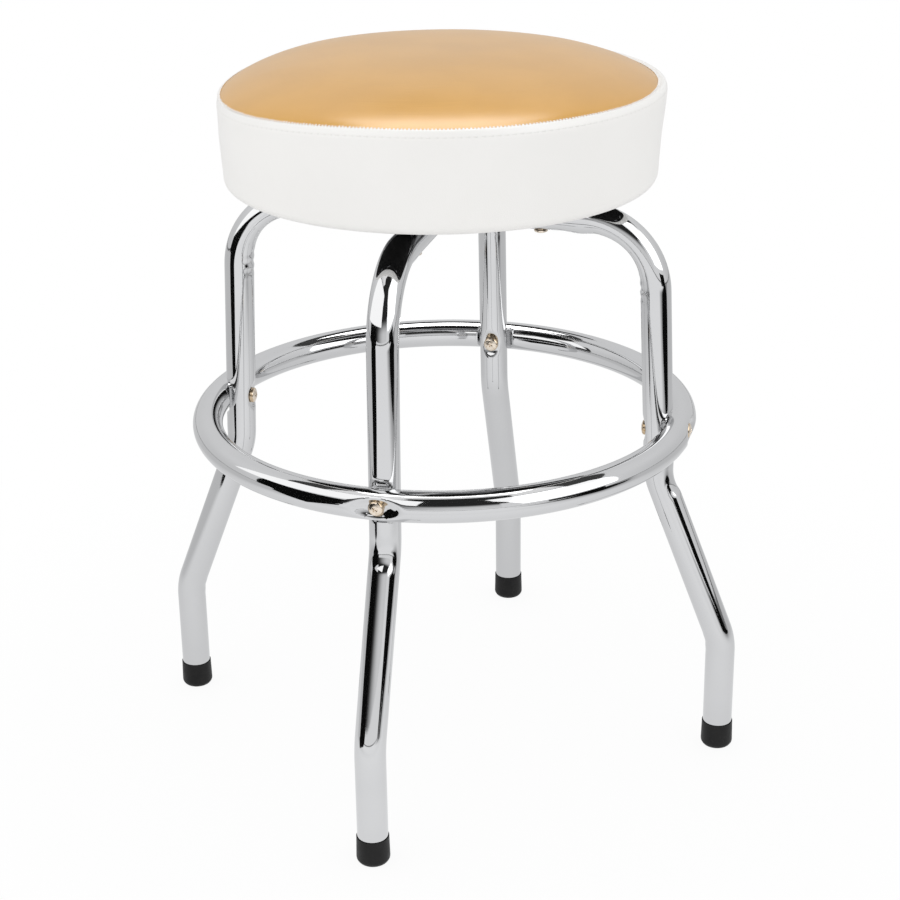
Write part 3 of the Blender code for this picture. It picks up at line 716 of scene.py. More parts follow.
FOOT, ANKLE, KNEE, SHOULDER, MIDDLE = leg_corners()
ANKLE_BEND = Bend(FOOT, ANKLE, KNEE, SMALL_BEND_RADIUS)
KNEE_BEND = Bend(ANKLE, KNEE, SHOULDER, SMALL_BEND_RADIUS)
TOP_BEND = Bend(KNEE, SHOULDER, MIDDLE, TOP_BEND_RADIUS)


def stations(points, spacing):
    """The same path with its long straight runs cut into short ones."""
    result = [points[0]]
    for start, end in zip(points, points[1:]):
        count = max(round((end - start).length / spacing), 1)
        result += [start.lerp(end, step / count) for step in range(1, count + 1)]
    return result


def press_leg(place):
    """Flatten the leg's outside against the ring, and dimple its inside for the barrel nut."""
    away = abs(place.z - RING_HEIGHT)
    if away < PRESS_END:
        free = smooth_step(PRESS_FLAT, PRESS_END, away)
        outer = CONTACT_RADIUS - CLEARANCE / 2 + free * 2 * TUBE_RADIUS
        free = smooth_step(LEG_DIMPLE_FLAT, LEG_DIMPLE_END, math.hypot(away, place.y))
        inner = LEG_RADIUS - TUBE_RADIUS + LEG_DIMPLE_DEPTH * (1 - free)
        lean = (RING_HEIGHT - place.z) * math.tan(LEG_LEAN) * free
        reach = soft_most(abs(place.x), inner + lean - PRESS_EASE * free, PRESS_EASE)
        place.x = math.copysign(soft_least(reach, outer, PRESS_EASE), place.x)


def crush_arm(place, kept_side):
    """Flatten the arm to half its height where the other frame crosses it."""
    away = abs(place.x)
    if away < CRUSH_END:
        free = smooth_step(CRUSH_FLAT, CRUSH_END, away)
        kept = ARM_HEIGHT + kept_side * TUBE_RADIUS
        place.z = kept + (place.z - kept) * mix(CRUSHED_SHARE, 1.0, free)
        place.y *= mix(CRUSH_WIDENING, 1.0, free)


def crimp_leg(place):
    """The marks that the bending dies leave on the inner side of each bend."""
    flat = Vector((abs(place.x), place.z))
    flat = TOP_BEND.dent(flat, *TOP_HOLLOW)
    flat = TOP_BEND.dent(flat, *TOP_SWELLING)
    flat = TOP_BEND.crimp(flat, *TOP_WAVES)
    flat = KNEE_BEND.dent(flat, *KNEE_HOLLOW)
    flat = ANKLE_BEND.crimp(flat, *ANKLE_WAVES)
    place.x = math.copysign(flat.x, place.x)
    place.z = flat.y


def leg_frame(name, azimuth, kept_side, finish):
    """One tube bent to an upside-down U."""
    half = [FOOT] + ANKLE_BEND.points() + KNEE_BEND.points() + TOP_BEND.points() + [MIDDLE]
    half = [Vector((reach, 0, height)) for reach, height in half]
    whole = half + [Vector((-point.x, 0, point.z)) for point in reversed(half[:-1])]
    work = tube(stations(whole, STATION_SPACING))
    for vertex in work.verts:
        crimp_leg(vertex.co)
        press_leg(vertex.co)
        crush_arm(vertex.co, kept_side)
    return piece(name + "_tube", moved(work, about_z(azimuth)), finish, "base", [name])


def press_ring(place):
    """Flatten the ring's inside against each leg, and dimple its outside for the screw's head."""
    for azimuth in LEG_AZIMUTHS.values():
        out = Vector((math.cos(math.radians(azimuth)), math.sin(math.radians(azimuth)), 0))
        reach = place.dot(out)
        away = abs(place.dot(Vector((-out.y, out.x, 0))))
        if reach < 0 or away > RING_DIMPLE_END:
            continue
        free = smooth_step(PRESS_FLAT, PRESS_END, away)
        inner = CONTACT_RADIUS + CLEARANCE / 2 - free * 2 * TUBE_RADIUS
        place += out * (soft_most(reach, inner, PRESS_EASE) - reach)
        off_screw = math.hypot(away, RING_DIMPLE_ASPECT * (place.z - RING_HEIGHT))
        free = smooth_step(RING_DIMPLE_FLAT, RING_DIMPLE_END, off_screw)
        outer = RING_RADIUS + TUBE_RADIUS - RING_DIMPLE_DEPTH * (1 - free) + RING_DIMPLE_EASE * free
        radius = off_axis(place)
        shrink = soft_least(radius, outer, RING_DIMPLE_EASE) / radius
        place.x *= shrink
        place.y *= shrink


def foot_ring(finish):
    count = round(2 * math.pi * RING_RADIUS / RING_SPACING)
    start = Vector((RING_RADIUS, 0, RING_HEIGHT))
    points = [Matrix.Rotation(2 * math.pi * step / count, 3, "Z") @ start for step in range(count)]
    work = tube(points, cyclic=True)
    for vertex in work.verts:
        press_ring(vertex.co)
    return piece("foot_ring_tube", work, finish, "base", ["foot_ring"])


def dome(radius, height):
    """The outline of a domed head, from the middle of its top to its rim."""
    angles = [math.pi / 2 * step / DOME_STEPS for step in range(DOME_STEPS + 1)]
    return [(radius * math.sin(angle), height * math.cos(angle)) for angle in angles]


def cross_recess(top, length):
    """A cutter for a cross-shaped driver recess, tapered to its floor."""
    work = bmesh.new()
    for turn in (0.0, math.pi / 2):
        shape = Matrix.Diagonal((length, RECESS_GAUGE, 2 * RECESS_DEPTH, 1.0))
        arm = bmesh.ops.create_cube(work, size=1.0, matrix=shape)["verts"]
        for vertex in arm:
            if vertex.co.z < 0:
                vertex.co.x *= RECESS_TAPER[0]
                vertex.co.y *= RECESS_TAPER[1]
        bmesh.ops.rotate(work, verts=arm, matrix=Matrix.Rotation(turn, 3, "Z"))
    bmesh.ops.translate(work, verts=work.verts, vec=(0, 0, top))
    return work


def cut_from(work, cutter):
    """The bmesh with the cutter's solid taken out of it."""
    items = []
    for name, part in (("blank", work), ("cutter", cutter)):
        bmesh.ops.recalc_face_normals(part, faces=part.faces)
        items.append(in_scene(name, mesh_from(name, part)))
    blank, tool = items
    boolean = blank.modifiers.new("cut", "BOOLEAN")
    boolean.operation = "DIFFERENCE"
    boolean.solver = "EXACT"
    boolean.use_self = True
    boolean.object = tool
    mesh = solid_mesh(blank)
    bpy.data.objects.remove(tool, do_unlink=True)
    result = work_from(mesh)
    bmesh.ops.remove_doubles(result, verts=result.verts, dist=CUT_WELD)
    bmesh.ops.dissolve_degenerate(result, dist=CUT_WELD, edges=result.edges)
    return result


def radial_frame(azimuth, radius, height):
    """A frame whose Z points straight out from the stool's axis."""
    outward = Matrix.Rotation(math.pi / 2, 4, "Y")
    return about_z(azimuth) @ Matrix.Translation((radius, 0, height)) @ outward


def screw_blank(head_radius, head_height, shank_radius, shank, tarnish=1.0):
    """A domed screw with a cross recess, its head's seat at zero and its shank pointing down."""
    side = HEAD_SIDE * head_height
    outline = [(radius, side + rise) for radius, rise in dome(head_radius, head_height - side)]
    outline += [(head_radius, 0.1 * side), (0.97 * head_radius, 0), (shank_radius, 0)]
    outline += [(shank_radius, -shank), (0, -shank)]
    recess = cross_recess(head_height, RECESS_LENGTH * head_radius)
    work = cut_from(turned(outline, HEAD_STEPS), recess)
    rim = work.verts.layers.float.new(RIM)
    for vertex in work.verts:
        vertex[rim] = tarnish * smooth_step(*TARNISHED_RIM, off_axis(vertex.co) / head_radius)
    return work


def drive(node, blank, place, finish, body):
    """Put a copy of a screw in its place, with its recess at any angle."""
    spin = Matrix.Rotation(CHANCE.uniform(0, math.pi), 4, "Z")
    return piece(node + "_head", moved(blank.copy(), place @ spin), finish, body, [node])


def ring_fasteners(finish):
    """At each leg a screw from outside the ring and a barrel nut from inside the leg."""
    screw = screw_blank(*RING_SCREW, RING_SCREW_SHANK)
    barrel = screw_blank(*RING_BARREL, RING_BARREL_SHANK)
    about = Matrix.Rotation(math.pi, 4, "Y")
    for side, azimuth in LEG_AZIMUTHS.items():
        outside = radial_frame(azimuth, RING_SCREW_SEAT, RING_HEIGHT)
        drive("ring_screw_" + side, screw, outside, finish, "base")
        inside = radial_frame(azimuth, BARREL_SEAT, RING_HEIGHT) @ about
        drive("ring_barrel_nut_" + side, barrel, inside, finish, "base")


def foot_caps(finish):
    """Thin rubber cups pushed over the tube ends."""
    outside = size_of("foot_cap_right").x / 2
    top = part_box("foot_cap_right")[1].z
    bore = TUBE_RADIUS + CLEARANCE
    rim, land, core = TREAD_RADII
    cup = eased([(0, CAP_FLOOR), (bore, CAP_FLOOR), (bore, top), (outside, top)], CAP_LIP_EASE)[:-1]
    foot = [(outside, top), (outside, CAP_FOOT_RISE), (outside - CAP_FOOT_TAPER, 0), (rim, 0)]
    tread = [(rim, 0), (rim, TREAD_DEPTH), (land, TREAD_DEPTH), (land, 0)]
    tread += [(core, 0), (core, TREAD_DEPTH), (0, TREAD_DEPTH)]
    outline = cup + eased(foot, CAP_FOOT_EASE, 6)[1:-1] + [Vector(point) for point in tread]
    blank = turned(outline, CAP_STEPS)
    for side, azimuth in LEG_AZIMUTHS.items():
        work = moved(blank.copy(), about_z(azimuth) @ Matrix.Translation((FOOT_RADIUS, 0, 0)))
        node = "foot_cap_" + side
        piece(node + "_cup", work, finish, "base", [node])


def square_reach(angle):
    """How far a swivel plate's round-cornered square outline lies from its middle, at an angle."""
    half = PLATE_SIDE / 2
    inner = half - PLATE_CORNER
    turn = abs(math.remainder(angle, math.pi / 2))
    if half * math.tan(turn) <= inner:
        return half / math.cos(turn)
    along = inner * (math.cos(turn) + math.sin(turn))
    return along + math.sqrt(along ** 2 - 2 * inner ** 2 + PLATE_CORNER ** 2)


def swivel_plate(name, body, place, finish):
    """A square plate pressed up to a web and a ball race, with its balls' plane at its own zero."""
    floor_half = RACE_FLOOR_SHARE * RACE_HALF
    race_edge = BALL_CIRCLE + RACE_HALF
    outline = [(RIVET_RADIUS + RIVET_PLAY, -WEB_LEVEL), (BALL_CIRCLE - RACE_HALF, -WEB_LEVEL)]
    outline += [(BALL_CIRCLE - floor_half, -RACE_FLOOR), (BALL_CIRCLE + floor_half, -RACE_FLOOR)]
    outline += [(race_edge, -WEB_LEVEL), (race_edge + WEB_EDGE, -WEB_LEVEL)]
    outline += [(race_edge + WEB_FOOT, -PLATE_TOP), (FLANGE_START, -PLATE_TOP), (PLATE_SIDE / 2, -PLATE_TOP)]
    work = turned(eased(outline, PRESSING_EASE), PLATE_STEPS)
    for vertex in work.verts:
        radius = off_axis(vertex.co)
        if radius > PLATE_SIDE / 2 - CLEARANCE:
            stretch = square_reach(math.atan2(vertex.co.y, vertex.co.x)) / radius
            vertex.co.x *= stretch
            vertex.co.y *= stretch
    thicken(work, PLATE_GAUGE)
    holes = bmesh.new()
    for turn in range(4):
        corner = about_z(45 + 90 * turn) @ Matrix.Translation((BOLT_CIRCLE, 0, -PLATE_TOP))
        bmesh.ops.create_cone(holes, cap_ends=True, segments=24, radius1=PLATE_HOLE, radius2=PLATE_HOLE,
                              depth=PLATE_HOLE_CUT, matrix=corner)
    work = moved(cut_from(work, holes), place)
    return piece(name + "_pressing", work, finish, body, [name])


def swivel_rivet(finish):
    """A hollow rivet whose two rolled flanges hold the webs of the plates together."""
    bore = RIVET_RADIUS - RIVET_WALL
    flange = RIVET_RADIUS + RIVET_FLANGE
    back = WEB_LEVEL + PLATE_GAUGE + CLEARANCE
    end = back + RIVET_FLANGE_GAUGE
    outline = [(RIVET_RADIUS, 0), (RIVET_RADIUS, back), (flange, back), (flange, end), (bore, end)]
    outline += [(bore, -end), (flange, -end), (flange, -back), (RIVET_RADIUS, -back), (RIVET_RADIUS, 0)]
    work = turned(eased(outline, RIVET_EASE), RIVET_STEPS)
    bmesh.ops.translate(work, verts=work.verts, vec=(0, 0, BALL_PLANE))
    return piece("swivel_rivet_rolled", work, finish, "seat", ["swivel_rivet"])


def hexagon_nut(height):
    """A bored hexagon with eased edges, about its own middle."""
    work = bmesh.new()
    bmesh.ops.create_cone(work, cap_ends=True, segments=6, radius1=NUT_CORNER, radius2=NUT_CORNER,
                          depth=height)
    bmesh.ops.bevel(work, geom=work.edges, offset=NUT_EASE, segments=3, profile=0.5, affect="EDGES",
                    material=-1)
    bore = bmesh.new()
    bmesh.ops.create_cone(bore, cap_ends=True, segments=32, radius1=NUT_BORE, radius2=NUT_BORE,
                          depth=NUT_BORE_CUT)
    return cut_from(work, bore)


def frame_bolts(nickel, zinc):
    """At each arm a bolt up through the tube and the lower plate, with a nut on top."""
    head_seat = ARM_HEIGHT - TUBE_RADIUS - CLEARANCE
    nut_low, nut_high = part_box("frame_nut_right")
    bolt = screw_blank(*FRAME_BOLT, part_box("frame_bolt_right")[1].z - head_seat, tarnish=0.0)
    nut = hexagon_nut(nut_high.z - nut_low.z)
    for side, azimuth in LEG_AZIMUTHS.items():
        arm = about_z(azimuth) @ Matrix.Translation((BOLT_CIRCLE, 0, 0))
        seat = arm @ Matrix.Translation((0, 0, head_seat)) @ UPSIDE_DOWN
        drive("frame_bolt_" + side, bolt, seat, nickel, "base")
        node = "frame_nut_" + side
        work = moved(nut.copy(), arm @ Matrix.Translation((0, 0, (nut_low.z + nut_high.z) / 2)))
        piece(node + "_hex", work, zinc, "base", [node])


def seat_screws(finish):
    """Four screws up through the upper plate and the dust cover into the board."""
    screw = screw_blank(*SEAT_SCREW, size_of("seat_screw_1").z - SEAT_SCREW_HEAD)
    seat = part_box("seat_screw_1")[0].z + SEAT_SCREW_HEAD
    for number in range(1, 5):
        corner = about_z(90 * number - 45) @ Matrix.Translation((BOLT_CIRCLE, 0, seat)) @ UPSIDE_DOWN
        drive(f"seat_screw_{number}", screw, corner, finish, "seat")


def settle(work):
    """Move the top of the seat as its hand-sewn seam lies, and keep each point's height before that."""
    low, high = [SEAM_HEIGHT - depth for depth in SETTLED_BELOW]
    sewn = work.verts.layers.float.new(SEWN_HEIGHT)
    for vertex in work.verts:
        place = vertex.co
        vertex[sewn] = place.z
        aside = place.dot(SEAM_SIDE) / COVER_RADIUS
        low_share = max(place.dot(LOW_SIDE) / COVER_RADIUS - LOW_SIDE_START, 0.0) / (1 - LOW_SIDE_START)
        on_band = smooth_step(SEAM_RADIUS, BAND_TOP_RADIUS, off_axis(place))
        settled = smooth_step(low, high, place.z)
        sag = LOW_SIDE_SAG * low_share ** 2
        sag += HIGH_SIDE_SAG * (1 - on_band) * smooth_step(*HIGH_SIDE_REACH, aside)
        place += SEAM_SIDE * settled * mix(COVER_DRIFT, BAND_DRIFT, on_band)
        place.z -= settled * sag


def crown_height(radius):
    """The height of the cushion's top, which runs on straight where it nears the seam."""
    share = min(radius / COVER_RADIUS, CROWN_STRAIGHT)
    fall = 1 - share ** CROWN_FLATNESS
    slope = CROWN_EDGE * fall ** (CROWN_EDGE - 1) * CROWN_FLATNESS * share ** (CROWN_FLATNESS - 1)
    beyond = radius / COVER_RADIUS - share
    return SEAM_HEIGHT + CROWN * (fall ** CROWN_EDGE - slope * beyond)


def gold_cover(finish):
    """The cushion's top, drawn down into the seam."""
    angles = [math.pi / 2 * step / CROWN_STEPS for step in range(CROWN_STEPS + 1)]
    radii = [COVER_RADIUS * math.sin(angle) for angle in angles]
    outline = [(radius, crown_height(radius)) for radius in radii]
    outline += [(COVER_RADIUS, SEAM_HEIGHT - SEAM_TUCK * share) for share in TUCK_SHARES]
    work = turned(outline, COVER_STEPS)
    for vertex in work.verts:
        soft = smooth_step(COVER_RADIUS, COVER_RADIUS - COVER_SLACK_EDGE, off_axis(vertex.co))
        slack = noise.noise(vertex.co * COVER_SLACK_SCALE + COVER_SLACK_PLACE)
        vertex.co.z -= COVER_SLACK * soft * max(slack, 0.0)
    settle(work)
    thicken(work, VINYL_GAUGE)
    item = piece("seat_top_gold", work, finish, "seat", ["seat_top_cover", "seat_foam"])
    return item


def quarter_arc(centre, reach, rise, start, steps):
    angles = [start - math.pi / 2 * step / steps for step in range(steps + 1)]
    return [(centre[0] + reach * math.cos(angle), centre[1] + rise * math.sin(angle)) for angle in angles]


def band_outline():
    """The side band as (radius, height), from its folded lip down to the hem under the seat."""
    points = [(SEAM_RADIUS, SEAM_HEIGHT - SEAM_TUCK), (SEAM_RADIUS, SEAM_HEIGHT - FOLD_START)]
    points += [(SEAM_RADIUS + FOLD_LEAN, SEAM_HEIGHT + FOLD_SHARE * LIP_RISE)]
    shoulder = (BAND_FOLD, SEAM_HEIGHT - BAND_SHOULDER)
    reach = BAND_TOP_RADIUS - BAND_FOLD
    points += quarter_arc(shoulder, reach, BAND_SHOULDER + LIP_RISE, math.pi / 2, SHOULDER_STEPS)
    turn = (BAND_BOTTOM_RADIUS - BAND_BOTTOM_ROUND, SEAT_BOTTOM + BAND_BOTTOM_ROUND)
    low = quarter_arc(turn, BAND_BOTTOM_ROUND, BAND_BOTTOM_ROUND, 0.0, ROUND_STEPS)
    side = (Vector(points[-1]), Vector(low[0]))
    points += [tuple(side[0].lerp(side[1], step / SIDE_STEPS)) for step in range(1, SIDE_STEPS)]
    hem = (Vector(low[-1]), Vector((HEM_EDGE, SEAT_BOTTOM)))
    return points + low + [tuple(hem[0].lerp(hem[1], step / HEM_STEPS)) for step in range(1, HEM_STEPS + 1)]


def white_band(finish):
    """The side band: folded at the seam, stitched down, and turned under to a pleated hem."""
    above = [SEAT_BOTTOM + height for height in SWELL_ABOVE]
    below = [SEAM_HEIGHT - depth for depth in SWELL_BELOW]
    work = turned(band_outline(), BAND_STEPS)
    for vertex in work.verts:
        place = vertex.co
        angle = math.atan2(place.y, place.x)
        radius = off_axis(place)
        side = smooth_step(*above, place.z) * smooth_step(*below, place.z)
        swell = BAND_SWELL * side * noise.noise(place * BAND_SWELL_SCALE)
        place.x *= 1 + swell / radius
        place.y *= 1 + swell / radius
        hem = smooth_step(*HEM_PLEATED, radius) * smooth_step(SEAT_BOTTOM + HEM_RISE, SEAT_BOTTOM, place.z)
        wander = noise.noise(Vector((math.cos(angle), math.sin(angle), 0)) * PLEAT_SCALE)
        pleat = math.cos(PLEAT_COUNT * angle + PLEAT_WANDER * wander)
        place.z -= PLEAT_DEPTH * hem * max(pleat, 0.0) ** 2
    settle(work)
    halfway = SEAT_BOTTOM + BAND_HEIGHT / 2
    side = min(work.faces, key=lambda face: abs(face.calc_center_median().z - halfway))
    if side.normal.dot(side.calc_center_median() * Vector((1, 1, 0))) < 0:
        bmesh.ops.reverse_faces(work, faces=work.faces)
    bmesh.ops.solidify(work, geom=work.faces, thickness=VINYL_GAUGE / 2)
    item = piece("seat_side_white", work, finish, "seat", ["seat_side_band"])
    return item


def seam_stitches(finish):
    """A row of lockstitches round the band, just below its folded lip."""
    rise = (BAND_SHOULDER - STITCH_DROP) / (BAND_SHOULDER + LIP_RISE)
    radius = BAND_FOLD + (BAND_TOP_RADIUS - BAND_FOLD) * math.sqrt(1 - rise * rise)
    lie = Matrix.Translation((radius - STITCH_SINK, 0, SEAM_HEIGHT - STITCH_DROP))
    shape = Matrix.Diagonal((*STITCH_SHAPE, 1.0))
    work = bmesh.new()
    for index in range(STITCH_COUNT):
        turn = Matrix.Rotation(2 * math.pi * index / STITCH_COUNT, 4, "Z")
        tilt = Matrix.Rotation(math.radians(CHANCE.uniform(-STITCH_TILT, STITCH_TILT)), 4, "X")
        place = turn @ lie @ tilt @ shape
        bmesh.ops.create_uvsphere(work, u_segments=8, v_segments=6, radius=1.0, matrix=place)
    settle(work)
    return piece("seam_stitches", work, finish, "seat")


def seam_gathers(finish):
    """Small gathers of the band's lip, drawn over the gold by the seam's thread, fullest on one side."""
    work = bmesh.new()
    lie = Matrix.Translation((SEAM_RADIUS, 0, SEAM_HEIGHT + GATHER_RISE))
    lie = lie @ Matrix.Rotation(GATHER_LEAN, 4, "Y")
    length, width, gauge = GATHER_SHAPE
    for index in range(GATHER_COUNT):
        angle = 2 * math.pi * (index + CHANCE.uniform(-GATHER_STRAY, GATHER_STRAY)) / GATHER_COUNT
        full = mix(LEAST_GATHERS, 1.0, max(math.cos(angle - FULLEST_GATHERS), 0.0) ** 2)
        full *= CHANCE.uniform(*GATHER_SIZES)
        place = Matrix.Rotation(angle, 4, "Z") @ lie @ Matrix.Diagonal((length * full, width, gauge, 1.0))
        bmesh.ops.create_uvsphere(work, u_segments=8, v_segments=6, radius=1.0, matrix=place)
    settle(work)
    return piece("seam_gathers", work, finish, "seat")


def dust_cover(finish):
    """Spun cloth under the board, drawn over the hem and tacked there."""
    outline = []
    for step in range(CLOTH_RINGS + 1):
        radius = CLOTH_EDGE * step / CLOTH_RINGS
        outline.append((radius, mix(DUST_LOW, CLOTH_UNDER_HEM, smooth_step(*CLOTH_STEP, radius))))
    work = turned(outline, CLOTH_STEPS)
    for vertex in work.verts:
        radius = off_axis(vertex.co)
        slack = smooth_step(*CLOTH_SLACK_START, radius) * smooth_step(*CLOTH_SLACK_END, radius)
        vertex.co.z -= CLOTH_SLACK * slack * (0.5 + noise.noise(vertex.co * CLOTH_SLACK_SCALE))
    thicken(work, DUST_GAUGE, up=-1)
    item = piece("dust_cover_cloth", work, finish, "seat", ["dust_cover"])
    return item


def dust_staples(finish):
    """A ring of staples, each crown lying along the ring."""
    work = bmesh.new()
    lie = Matrix.Translation((STAPLE_CIRCLE, 0, STAPLE_HEIGHT))
    shape = Matrix.Diagonal((*STAPLE_SHAPE, 1.0))
    for index in range(STAPLE_COUNT):
        angle = 2 * math.pi * (index + CHANCE.uniform(-STAPLE_STRAY, STAPLE_STRAY)) / STAPLE_COUNT
        turn = Matrix.Rotation(angle, 4, "Z")
        skew = about_z(CHANCE.uniform(-STAPLE_SKEW, STAPLE_SKEW))
        bmesh.ops.create_cube(work, size=1.0, matrix=turn @ lie @ skew @ shape)
    bmesh.ops.bevel(work, geom=work.edges, offset=STAPLE_EASE, segments=1, profile=0.5, affect="EDGES",
                    material=-1)
    return piece("dust_staples", work, finish, "seat")


def dress_nodes(finish, *names):
    """Give CAD nodes that stay as they are a better finish."""
    for name in names:
        coat(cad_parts[name].data, finish)


def build_stool():
    chrome = chrome_finish()
    nickel = nickel_finish()
    zinc = zinc_finish()
    leg_frame("leg_frame_lower", 0.0, -1, chrome)
    leg_frame("leg_frame_upper", 90.0, 1, chrome)
    foot_ring(chrome)
    ring_fasteners(nickel)
    foot_caps(rubber_finish())
    upright = Matrix.Translation((0, 0, BALL_PLANE))
    swivel_plate("lower_swivel_plate", "base", upright @ about_z(45), zinc)
    swivel_plate("upper_swivel_plate", "seat", upright @ UPSIDE_DOWN, zinc)
    swivel_rivet(zinc)
    frame_bolts(nickel, zinc)
    seat_screws(zinc)
    white = white_finish()
    gold_cover(gold_finish())
    white_band(white)
    seam_stitches(thread_finish())
    seam_gathers(white)
    dust_cover(cloth_finish())
    dust_staples(zinc)
    dress_nodes(plywood_finish(), "seat_board")
    dress_nodes(plastic_finish(), "ball_cage")
    dress_nodes(steel_finish(), *[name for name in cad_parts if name.startswith("bearing_ball")])


# Studio
CENTRE = Vector((0, 0, 0.30))
AMBIENT = 1.0
SOFTBOX_LEVEL = 1.38
TOP_LEVEL = 6.0
WALL_BACK = 0.74
WALL_FRONT = 0.92
WALL_HIGH = 0.88
WALL_HIGH_BACK = 0.84
WALL_PALE = 2.8
WALL_REACH = 3.6
WALL_HEIGHT = 7.5
SKIRTING = 0.07
FLOOR_FRONT = 1.02
FLOOR_BACK = 0.79
FLOOR_FAR = 0.68
COOL = (0.985, 0.990, 1.0)
FLOOR_EDGE = 0.35
FLOOR_REACH = 8.0
MIRROR_REACH = 4.0
MIRROR_LIFT = 0.0004
PATCH_LIFT = 0.012
SKIRTING_LEVEL = 0.18
LAMP_DISTANCE = 2.2
CARD_DISTANCE = 2.8
BLACK_LEVEL = 0.004
DUSK_LEVEL = 0.025
GREY_LEVEL = 0.06
ROOM_LEVEL = 0.80

# Cards of the studio: places to the camera's right and toward it, and heights
LEFT_ENDS = [(-0.668, -0.019), (-0.135, 0.693)]
LEFT_LOWS = [0.452, 0.567]
LEFT_HIGH = 1.12
LEFT_RIM = 0.03
CAMERA_SIDE_ENDS = [(-1.20, 1.3), (0.52, 1.3)]
CAMERA_SIDE_LOWS = [0.35, 0.35]
CAMERA_SIDE_HIGH = 3.2
DARK_LEFT_EDGE = [(-0.50, 0.34), (-0.70, 0.62), (-0.88, 0.95), (-1.20, 1.30), (-1.85, 1.85)]
DARK_LEFT_FAR = [(-3.0, 2.6), (-3.0, 0.6), (-1.8, 0.50), (-1.4, 0.36)]
DARK_RIGHT_EDGE = [(0.90, 0.45), (1.10, 0.25), (1.50, 0.20), (1.85, 0.45), (2.50, 0.70)]
DARK_RIGHT_FAR = [(3.4, 1.2), (3.4, 2.2), (2.3, 1.5), (1.25, 1.30), (0.95, 1.0)]


def spot(right, near, height=0.0):
    """A place in the studio by its distance to the camera's right, toward the camera and up."""
    return Matrix.Rotation(math.radians(VIEW_AZIMUTH), 3, "Z") @ Vector((right, -near, height))


def toward(azimuth, elevation, distance):
    """A place round the stool, by its angle from the camera's side and its height angle, in degrees."""
    turn = math.radians(azimuth)
    rise = math.radians(elevation)
    flat = distance * math.cos(rise)
    return CENTRE + spot(flat * math.sin(turn), flat * math.cos(turn), distance * math.sin(rise))


def facing_centre(place):
    return (CENTRE - place).to_track_quat("-Z", "Y")


def softbox(name, azimuth, elevation, width_angle, height_angle, level):
    """A lamp that covers the given angles as the stool sees it."""
    lamp = bpy.data.lights.new(name, "AREA")
    lamp.shape = "RECTANGLE"
    lamp.size = 2 * LAMP_DISTANCE * math.tan(math.radians(width_angle / 2))
    lamp.size_y = 2 * LAMP_DISTANCE * math.tan(math.radians(height_angle / 2))
    lamp.energy = level * math.pi * lamp.size * lamp.size_y
    item = in_scene(name, lamp)
    item.location = toward(azimuth, elevation, LAMP_DISTANCE)
    item.rotation_euler = facing_centre(item.location).to_euler()
    item.visible_camera = False
    return item


def mirrored_softbox(*angles_and_level):
    """A softbox that shows in the chrome and the vinyl's sheen, and adds no light of its own."""
    softbox(*angles_and_level).visible_diffuse = False


def mirror_only(name, work, finish):
    """Make a bmesh a thing that shows in the chrome and nowhere else."""
    item = shown(name, mesh_from(name, work), finish)
    item.visible_camera = False
    item.visible_diffuse = False
    item.visible_shadow = False
    item.visible_transmission = False


def card(name, azimuth, elevation, width_angle, height_angle, finish):
    """A card that covers the given angles as the stool sees it."""
    place = toward(azimuth, elevation, CARD_DISTANCE)
    half_width = CARD_DISTANCE * math.tan(math.radians(width_angle / 2))
    half_height = CARD_DISTANCE * math.tan(math.radians(height_angle / 2))
    work = bmesh.new()
    shape = Matrix.LocRotScale(place, facing_centre(place), Vector((half_width, half_height, 1.0)))
    bmesh.ops.create_grid(work, x_segments=1, y_segments=1, size=1.0, matrix=shape)
    mirror_only(name, work, finish)


def patch(name, corners, finish):
    """A flat card given by its corners in the studio."""
    work = bmesh.new()
    bmesh.ops.contextual_create(work, geom=[work.verts.new(spot(*corner)) for corner in corners])
    mirror_only(name, work, finish)


def upright_card(name, ends, lows, top, finish):
    """A card over the line between two places, with a height for each lower corner and one for its top."""
    low = [(*end, height) for end, height in zip(ends, lows)]
    high = [(*end, top) for end in reversed(ends)]
    patch(name, low + high, finish)


def floor_card(name, outline, finish):
    patch(name, [(*place, PATCH_LIFT) for place in outline], finish)


def new_glow(name):
    """A finish that only shines, for what the chrome mirrors."""
    finish = new_finish(name)
    finish.tree.nodes.remove(finish.tree.nodes["Principled BSDF"])
    return finish


def shining(finish, colour):
    lit = finish.node("Emission", None, {"Color": colour, "Strength": 1.0})
    finish.fill(finish.tree.nodes["Material Output"].inputs["Surface"], lit)
    return finish.owner


def plain_glow(name, level):
    return shining(new_glow(name), (level, level, level, 1.0))


def cool(level):
    return tuple(level * share for share in COOL)


def studio_axes(finish):
    """The distance to the camera's right, toward the camera, and up."""
    turn = math.radians(VIEW_AZIMUTH)
    across, along, up = finish.axes()
    right = across * math.cos(turn) + along * math.sin(turn)
    near = across * math.sin(turn) - along * math.cos(turn)
    return right, near, up


def seen_directly(finish):
    """One for the rays that see the background, and nothing for those that light the object."""
    kinds = ("Is Camera Ray", "Is Glossy Ray", "Is Transmission Ray")
    camera, glossy, through = [finish.node("LightPath", output=kind) for kind in kinds]
    return camera.math("MINIMUM", camera + glossy + through, 1.0)


